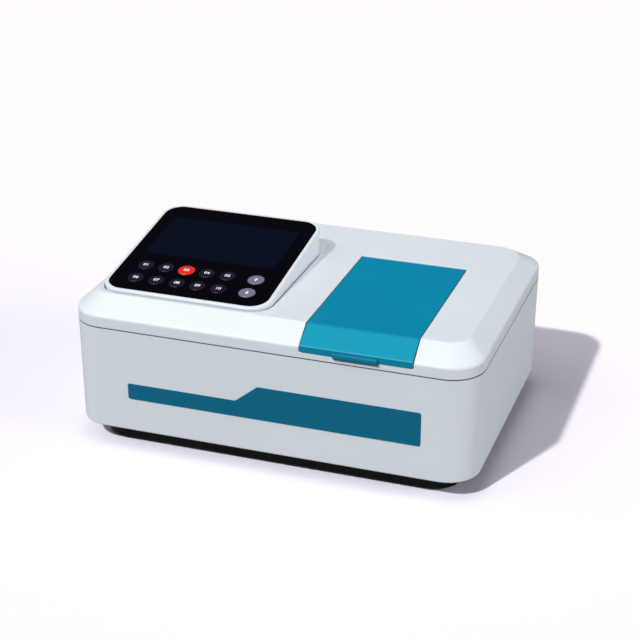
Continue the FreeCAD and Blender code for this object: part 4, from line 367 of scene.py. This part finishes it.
# The keys: round caps that stand a little above the panel, ten navy, one of them red, and two
# slate-grey arrow keys, each with a white mark printed on it.
key_navy, navy_shader = moulded(
    "key_navy", (0.006, 0.007, 0.014), (0.009, 0.011, 0.021), (0.4, 0.5))
navy_shader.inputs["Specular IOR Level"].default_value = 0.25
key_slate, _ = moulded("key_slate", (0.15, 0.16, 0.22), (0.17, 0.185, 0.25), (0.35, 0.45))
key_red, _ = moulded("key_red", (0.68, 0.02, 0.02), (0.76, 0.028, 0.025), (0.3, 0.4))
print_white, _ = moulded("print_white", (0.75, 0.75, 0.78), (0.85, 0.85, 0.88), (0.5, 0.6))
row_rear = ["key_rear_1", "key_rear_2", "red_key", "key_rear_4", "key_rear_5"]
row_front = ["key_front_%d" % (i + 1) for i in range(5)]
dress(key_navy, *(name for name in row_rear + row_front if name != "red_key"))
dress(key_slate, "up_key", "down_key")
dress(key_red, "red_key")
panel_frame = Matrix.Translation((panel_x, panel_y, panel_z)) @ Matrix.Rotation(panel_tilt, 4, "X")
key_height, print_lift = 0.0003, 0.00002
key_digit_size = 0.0066


def key_middle(name):
    """The middle of a key's top face in the panel's own frame."""
    low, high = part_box(name)
    centre = panel_frame.inverted() @ ((low + high) / 2)
    return Vector((centre.x, centre.y, key_height + print_lift))


def printed(name, body, mesh):
    """A thin printed mark that rides with its key."""
    mark = add_object(name, mesh)
    mark.data.materials.clear()
    mark.data.materials.append(print_white)
    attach(mark, body)


def digits(words, size):
    """Printed digits as a mesh about the origin, filled at a size of 1 and then scaled."""
    text = bpy.data.curves.new("digits", "FONT")
    text.body = words
    text.align_x = "CENTER"
    text.align_y = "CENTER"
    text.extrude = 0.0015
    text.offset = 0.025
    letters = add_object("digits", text)
    bpy.context.view_layer.update()
    graph = bpy.context.evaluated_depsgraph_get()
    mesh = bpy.data.meshes.new_from_object(letters.evaluated_get(graph))
    bpy.data.objects.remove(letters)
    mesh.transform(Matrix.Scale(size, 4))
    return mesh


for number, key in enumerate(row_rear + row_front, start=1):
    mesh = digits("%02d" % number, key_digit_size)
    mesh.transform(panel_frame @ Matrix.Translation(key_middle(key)))
    printed(key + "_mark", key + "_body", mesh)

for key, sense in (("up_key", 1.0), ("down_key", -1.0)):
    outline = [(-0.0008, -0.0032), (0.0008, -0.0032), (0.0008, 0.0003), (0.0026, 0.0003),
               (0.0, 0.0034), (-0.0026, 0.0003), (-0.0008, 0.0003)]
    arrow = bmesh.new()
    corners = [arrow.verts.new((x * sense, y * sense, 0.0)) for x, y in outline]
    arrow.faces.new(corners)
    mesh = bpy.data.meshes.new(key + "_mark")
    arrow.to_mesh(mesh)
    arrow.free()
    mesh.transform(panel_frame @ Matrix.Translation(key_middle(key)))
    printed(key + "_mark", key + "_body", mesh)

# The optics' castings, plates and rods: sand-blasted cast aluminium, black anodised boxes that
# keep stray light down, ground steel and bright plated screws.
def metal(name, dark, light, rough, scale, distance=0.00003):
    material, shader = moulded(name, dark, light, rough, scale, distance)
    shader.inputs["Metallic"].default_value = 1.0
    return material


cast_aluminium = metal("cast_aluminium", (0.42, 0.43, 0.44), (0.55, 0.56, 0.57), (0.45, 0.6), 700.0)
black_anodised = metal(
    "black_anodised", (0.02, 0.02, 0.022), (0.035, 0.035, 0.038), (0.4, 0.55), 900.0)
ground_steel = metal("ground_steel", (0.5, 0.5, 0.51), (0.62, 0.62, 0.63), (0.25, 0.4), 400.0)
bright_zinc = metal("bright_zinc", (0.6, 0.6, 0.6), (0.75, 0.75, 0.75), (0.12, 0.25), 300.0)
motor_black, _ = moulded(
    "motor_black", (0.015, 0.015, 0.016), (0.03, 0.03, 0.032), (0.35, 0.5), 600.0)
dress(cast_aluminium, "optical_bench", "monochromator_housing", "monochromator_cover",
      "grating_table")
dress(black_anodised, "sample_chamber", "cell_carriage", "detector_housing", "filter_wheel")
dress(ground_steel, "tilt_brackets", "slit_plates", "lamp_house", "power_supply",
      "filter_motor", "carriage_screw", "tilt_pins", "lid_hinge_pin")
dress(bright_zinc, "case_screws", "guide_rods", "data_ports")
dress(motor_black, "carriage_motor", "grating_motor")

# The small plastic fittings: the fan, the mains inlet with its fuse drawer, the rocker switch,
# the foam seal and the lamp's ceramic socket.
fitting_black, _ = moulded(
    "fitting_black", (0.012, 0.012, 0.013), (0.024, 0.024, 0.026), (0.3, 0.5), 700.0)
dress(fitting_black, "fan_frame", "fan_rotor", "mains_inlet", "fuse_drawer",
      "power_switch", "power_rocker")
foam_black, _ = moulded(
    "foam_black", (0.015, 0.015, 0.015), (0.03, 0.03, 0.03), (0.85, 0.95), 1200.0, 0.0003)
dress(foam_black, "chamber_seal")
ceramic_white, _ = moulded(
    "ceramic_white", (0.72, 0.69, 0.62), (0.8, 0.77, 0.7), (0.2, 0.35), 300.0)
dress(ceramic_white, "lamp_socket")

# The circuit boards: glass-fibre laminate under a green solder mask, each cut to a plain
# rectangle and fixed beside the pieces that it drives or reads.
board_green, _ = moulded(
    "board_green", (0.006, 0.08, 0.035), (0.01, 0.11, 0.05), (0.3, 0.45), 200.0)
dress(board_green, "main_board", "supply_board", "detector_board", "key_board")

# The optics themselves: front-silvered mirrors, the ruled grating, and clear glass windows and
# lamp envelope.
silvered = metal("silvered", (0.86, 0.87, 0.88), (0.9, 0.91, 0.92), (0.02, 0.06), 200.0, 0.000002)
dress(silvered, "mirrors", "grating")
clear_glass, glass_shader = moulded(
    "clear_glass", (0.93, 0.96, 0.97), (0.97, 0.99, 1.0), (0.02, 0.06), 200.0, 0.000002)
glass_shader.inputs["Transmission Weight"].default_value = 1.0
dress(clear_glass, "beam_windows", "halogen_lamp")

# The rear plate: folded steel with a pale powder coat, behind the window in the case. Four
# pan-head screws hold it at its corners, and four more hold the fan behind it.
plate_paint, _ = moulded(
    "plate_paint", (0.56, 0.57, 0.59), (0.62, 0.63, 0.65), (0.45, 0.6), 1400.0, 0.0001)
dress(plate_paint, "rear_panel")


def shape_tree(name, inputs):
    """A geometry tree with a geometry input and output and the named inputs."""
    tree = bpy.data.node_groups.new(name, "GeometryNodeTree")
    tree.interface.new_socket("Geometry", in_out="INPUT", socket_type="NodeSocketGeometry")
    for label, start in inputs.items():
        kind = "NodeSocketVector" if isinstance(start, tuple) else (
            "NodeSocketInt" if isinstance(start, int) else "NodeSocketFloat")
        tree.interface.new_socket(label, in_out="INPUT", socket_type=kind).default_value = start
    tree.interface.new_socket("Geometry", in_out="OUTPUT", socket_type="NodeSocketGeometry")
    return tree, tree.nodes.new("NodeGroupInput").outputs, tree.nodes.new("NodeGroupOutput")


def step(tree, kind, settings=(), **joins):
    """A node with its settings, and its inputs joined to sockets or set to plain values."""
    node = tree.nodes.new(kind)
    for label, value in dict(settings).items():
        setattr(node, label, value)
    for label, source in joins.items():
        socket = node.inputs[label.replace("_", " ")]
        if isinstance(source, bpy.types.NodeSocket):
            tree.links.new(source, socket)
        else:
            socket.default_value = source
    return node


def joined(tree, *shapes):
    node = tree.nodes.new("GeometryNodeJoinGeometry")
    for shape in shapes:
        tree.links.new(shape, node.inputs["Geometry"])
    return node.outputs["Geometry"]


def close_tree(tree, leave, geometry, material):
    real = step(tree, "GeometryNodeRealizeInstances", Geometry=geometry)
    done = step(tree, "GeometryNodeSetMaterial", Geometry=real.outputs["Geometry"],
                Material=material)
    tree.links.new(done.outputs["Geometry"], leave.inputs["Geometry"])


def grown(tree, name, points, material, **sizes):
    """The plain mesh that a geometry tree makes on points with its named sizes."""
    seed = bpy.data.meshes.new(name)
    seed.from_pydata(points, [], [])
    holder = add_object(name + "_points", seed)
    modifier = holder.modifiers.new(name, "NODES")
    modifier.node_group = tree
    labels = {socket.name: socket.identifier for socket in tree.interface.items_tree
              if socket.in_out == "INPUT"}
    for label, value in sizes.items():
        modifier[labels[label.replace("_", " ")]] = value
    bpy.context.view_layer.update()
    graph = bpy.context.evaluated_depsgraph_get()
    mesh = bpy.data.meshes.new_from_object(holder.evaluated_get(graph))
    bpy.data.objects.remove(holder)
    mesh.materials.clear()
    mesh.materials.append(material)
    mesh.polygons.foreach_set("material_index", [0] * len(mesh.polygons))
    return mesh


screws, given, leave = shape_tree("pan_head_screws", {
    "Head Radius": 0.003, "Head Height": 0.0018, "Recess Width": 0.0009,
    "Direction": (0.0, 0.0, 1.0)})
crown = one_step(screws, "MULTIPLY", given["Head Radius"], 0.72)
head = step(screws, "GeometryNodeMeshCone", Vertices=24, Radius_Bottom=given["Head Radius"],
            Radius_Top=crown, Depth=given["Head Height"])
recess_length = one_step(screws, "MULTIPLY", given["Head Radius"], 1.1)
bar_size = step(screws, "ShaderNodeCombineXYZ", X=recess_length, Y=given["Recess Width"],
                Z=given["Head Height"])
bar = step(screws, "GeometryNodeMeshCube", Size=bar_size.outputs[0])
crossbar = step(screws, "GeometryNodeTransform", Geometry=bar.outputs["Mesh"],
                Rotation=(0, 0, math.pi / 2))
lift = step(screws, "ShaderNodeCombineXYZ", Z=given["Head Height"])
cross = step(screws, "GeometryNodeTransform", Translation=lift.outputs[0],
             Geometry=joined(screws, bar.outputs["Mesh"], crossbar.outputs["Geometry"]))
cut = step(screws, "GeometryNodeMeshBoolean", {"operation": "DIFFERENCE"})
screws.links.new(head.outputs["Mesh"], cut.inputs["Mesh 1"])
screws.links.new(cross.outputs["Geometry"], cut.inputs["Mesh 2"])
aim = step(screws, "FunctionNodeAlignRotationToVector", {"axis": "Z"}, Vector=given["Direction"])
put = step(screws, "GeometryNodeInstanceOnPoints", Points=given["Geometry"],
           Instance=cut.outputs["Mesh"], Rotation=aim.outputs["Rotation"])
close_tree(screws, leave, put.outputs["Instances"], bright_zinc)

plate_low, plate_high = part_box("rear_panel")
fan_low, fan_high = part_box("fan_frame")
plate_inset, fan_inset = 0.009, 0.005
plate_corners = [(x, plate_high.y, z)
                 for x in (plate_low.x + plate_inset, plate_high.x - plate_inset)
                 for z in (plate_low.z + plate_inset, plate_high.z - plate_inset)]
fan_corners = [(x, plate_high.y, z) for x in (fan_low.x + fan_inset, fan_high.x - fan_inset)
               for z in (fan_low.z + fan_inset, fan_high.z - fan_inset)]
rear_screws = add_object("rear_screws", grown(
    screws, "rear_screws", plate_corners + fan_corners, bright_zinc, Direction=(0.0, 1.0, 0.0)))
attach(rear_screws, "housing")

# The monochromator's cover: a cast plate over the light path, closed light-tight on its housing
# by six small black screws along its front and rear edges.
cover_low, cover_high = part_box("monochromator_cover")
cover_inset = 0.006
cover_middle = (cover_low.x + cover_high.x) / 2
cover_columns = (cover_low.x + cover_inset, cover_middle, cover_high.x - cover_inset)
cover_holes = [(x, y, cover_high.z) for y in (cover_low.y + cover_inset, cover_high.y - cover_inset)
               for x in cover_columns]
cover_screws = add_object("cover_screws", grown(
    screws, "cover_screws", cover_holes, black_anodised, Head_Radius=0.0025, Head_Height=0.0015,
    Recess_Width=0.0007))
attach(cover_screws, "housing")

# The lead screw: a ground steel rod with four rolled threads that carry the cell carriage
# 8 mm for each turn.
thread, given, leave = shape_tree("lead_screw_thread", {
    "Radius": 0.003, "Depth": 0.0005, "Length": 0.1968, "Turns": 24.5, "Starts": 4})
root = one_step(thread, "SUBTRACT", given["Radius"], given["Depth"])
both_ends = one_step(thread, "MULTIPLY", given["Depth"], 2.0)
climb = one_step(thread, "SUBTRACT", given["Length"], both_ends)
spiral = step(thread, "GeometryNodeCurveSpiral", Resolution=16, Rotations=given["Turns"],
              Height=climb, Start_Radius=root, End_Radius=root)
ridge = step(thread, "GeometryNodeCurvePrimitiveCircle", Resolution=6, Radius=given["Depth"])
coil = step(thread, "GeometryNodeCurveToMesh", Curve=spiral.outputs["Curve"],
            Profile_Curve=ridge.outputs["Curve"], Fill_Caps=True)
start_lift = step(thread, "ShaderNodeCombineXYZ", Z=given["Depth"])
coil = step(thread, "GeometryNodeTransform", Geometry=coil.outputs["Mesh"],
            Translation=start_lift.outputs[0])
starts = step(thread, "GeometryNodeMeshCircle", Vertices=given["Starts"], Radius=0.000001)
start_index = step(thread, "GeometryNodeInputIndex").outputs[0]
share = one_step(thread, "DIVIDE", start_index, given["Starts"])
spin = step(thread, "ShaderNodeCombineXYZ", Z=one_step(thread, "MULTIPLY", share, 2 * math.pi))
ridges = step(thread, "GeometryNodeInstanceOnPoints", Points=starts.outputs["Mesh"],
              Instance=coil.outputs["Geometry"], Rotation=spin.outputs[0])
core = step(thread, "GeometryNodeMeshCylinder", Vertices=32, Radius=root, Depth=given["Length"])
half_length = one_step(thread, "MULTIPLY", given["Length"], 0.5)
core_lift = step(thread, "ShaderNodeCombineXYZ", Z=half_length)
core = step(thread, "GeometryNodeTransform", Geometry=core.outputs["Mesh"],
            Translation=core_lift.outputs[0])
close_tree(thread, leave,
           joined(thread, core.outputs["Geometry"], ridges.outputs["Instances"]), ground_steel)

rod_low, rod_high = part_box("carriage_screw")
rod_mesh = grown(thread, "lead_screw", [(0, 0, 0)], ground_steel, Length=rod_high.y - rod_low.y)
rod_end = ((rod_low.x + rod_high.x) / 2, rod_low.y, (rod_low.z + rod_high.z) / 2)
rod_mesh.transform(Matrix.Translation(rod_end) @ Matrix.Rotation(-math.pi / 2, 4, "X"))
lead_screw = add_object("lead_screw", rod_mesh)
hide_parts("carriage_screw")
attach(lead_screw, "lead_screw")

# The cell carriage's place numbers: plain white digits printed on the black block, one beside
# each of its four wells.
carriage_low, carriage_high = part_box("cell_carriage")
well_count, well_pitch, number_offset, place_digit_size = 4, 0.02, 0.0083, 0.0042
for place in range(well_count):
    mesh = digits(str(place + 1), place_digit_size)
    mesh.transform(Matrix.Translation((
        (carriage_low.x + carriage_high.x) / 2 - number_offset,
        (carriage_low.y + carriage_high.y) / 2 + (place - (well_count - 1) / 2) * well_pitch,
        carriage_high.z + print_lift)))
    printed("place_number_%d" % (place + 1), "cell_slide", mesh)

# The small parts on the main board: resistors and capacitors in straight rows, soldered flat
# to the green laminate.
board_parts, given, leave = shape_tree("board_parts", {
    "Length": 0.17, "Width": 0.05, "Pitch": 0.0055, "Share": 0.4, "Seed": 7, "Part Length": 0.0026})
across = one_step(board_parts, "DIVIDE", given["Length"], given["Pitch"])
along = one_step(board_parts, "DIVIDE", given["Width"], given["Pitch"])
rows = step(board_parts, "GeometryNodeMeshGrid", Size_X=given["Length"], Size_Y=given["Width"],
            Vertices_X=across, Vertices_Y=along)
chosen = board_parts.nodes.new("FunctionNodeRandomValue")
chosen.data_type = "BOOLEAN"
board_parts.links.new(given["Share"], chosen.inputs[6])
board_parts.links.new(given["Seed"], chosen.inputs[8])
longer = board_parts.nodes.new("FunctionNodeRandomValue")
longer.inputs[2].default_value = 0.6
longer.inputs[3].default_value = 1.3
board_parts.links.new(given["Seed"], longer.inputs[8])
block = step(board_parts, "GeometryNodeMeshCube", Size=(1.0, 0.55, 0.35))
raised = step(board_parts, "GeometryNodeTransform", Geometry=block.outputs["Mesh"],
              Translation=(0.0, 0.0, 0.175))
size = one_step(board_parts, "MULTIPLY", longer.outputs[1], given["Part Length"])
soldered = step(board_parts, "GeometryNodeInstanceOnPoints", Points=rows.outputs["Mesh"],
                Selection=chosen.outputs[3], Instance=raised.outputs["Geometry"], Scale=size)
close_tree(board_parts, leave, soldered.outputs["Instances"], motor_black)

board_low, board_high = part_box("main_board")
board_thickness, bare_length, bare_width = 0.0016, 0.02, 0.01
parts_mesh = grown(board_parts, "board_parts", [(0, 0, 0)], motor_black,
                   Length=board_high.x - board_low.x - bare_length,
                   Width=board_high.y - board_low.y - bare_width)
parts_mesh.transform(Matrix.Translation((
    (board_low.x + board_high.x) / 2, (board_low.y + board_high.y) / 2,
    board_low.z + board_thickness)))
board_small_parts = add_object("board_small_parts", parts_mesh)
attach(board_small_parts, "housing")
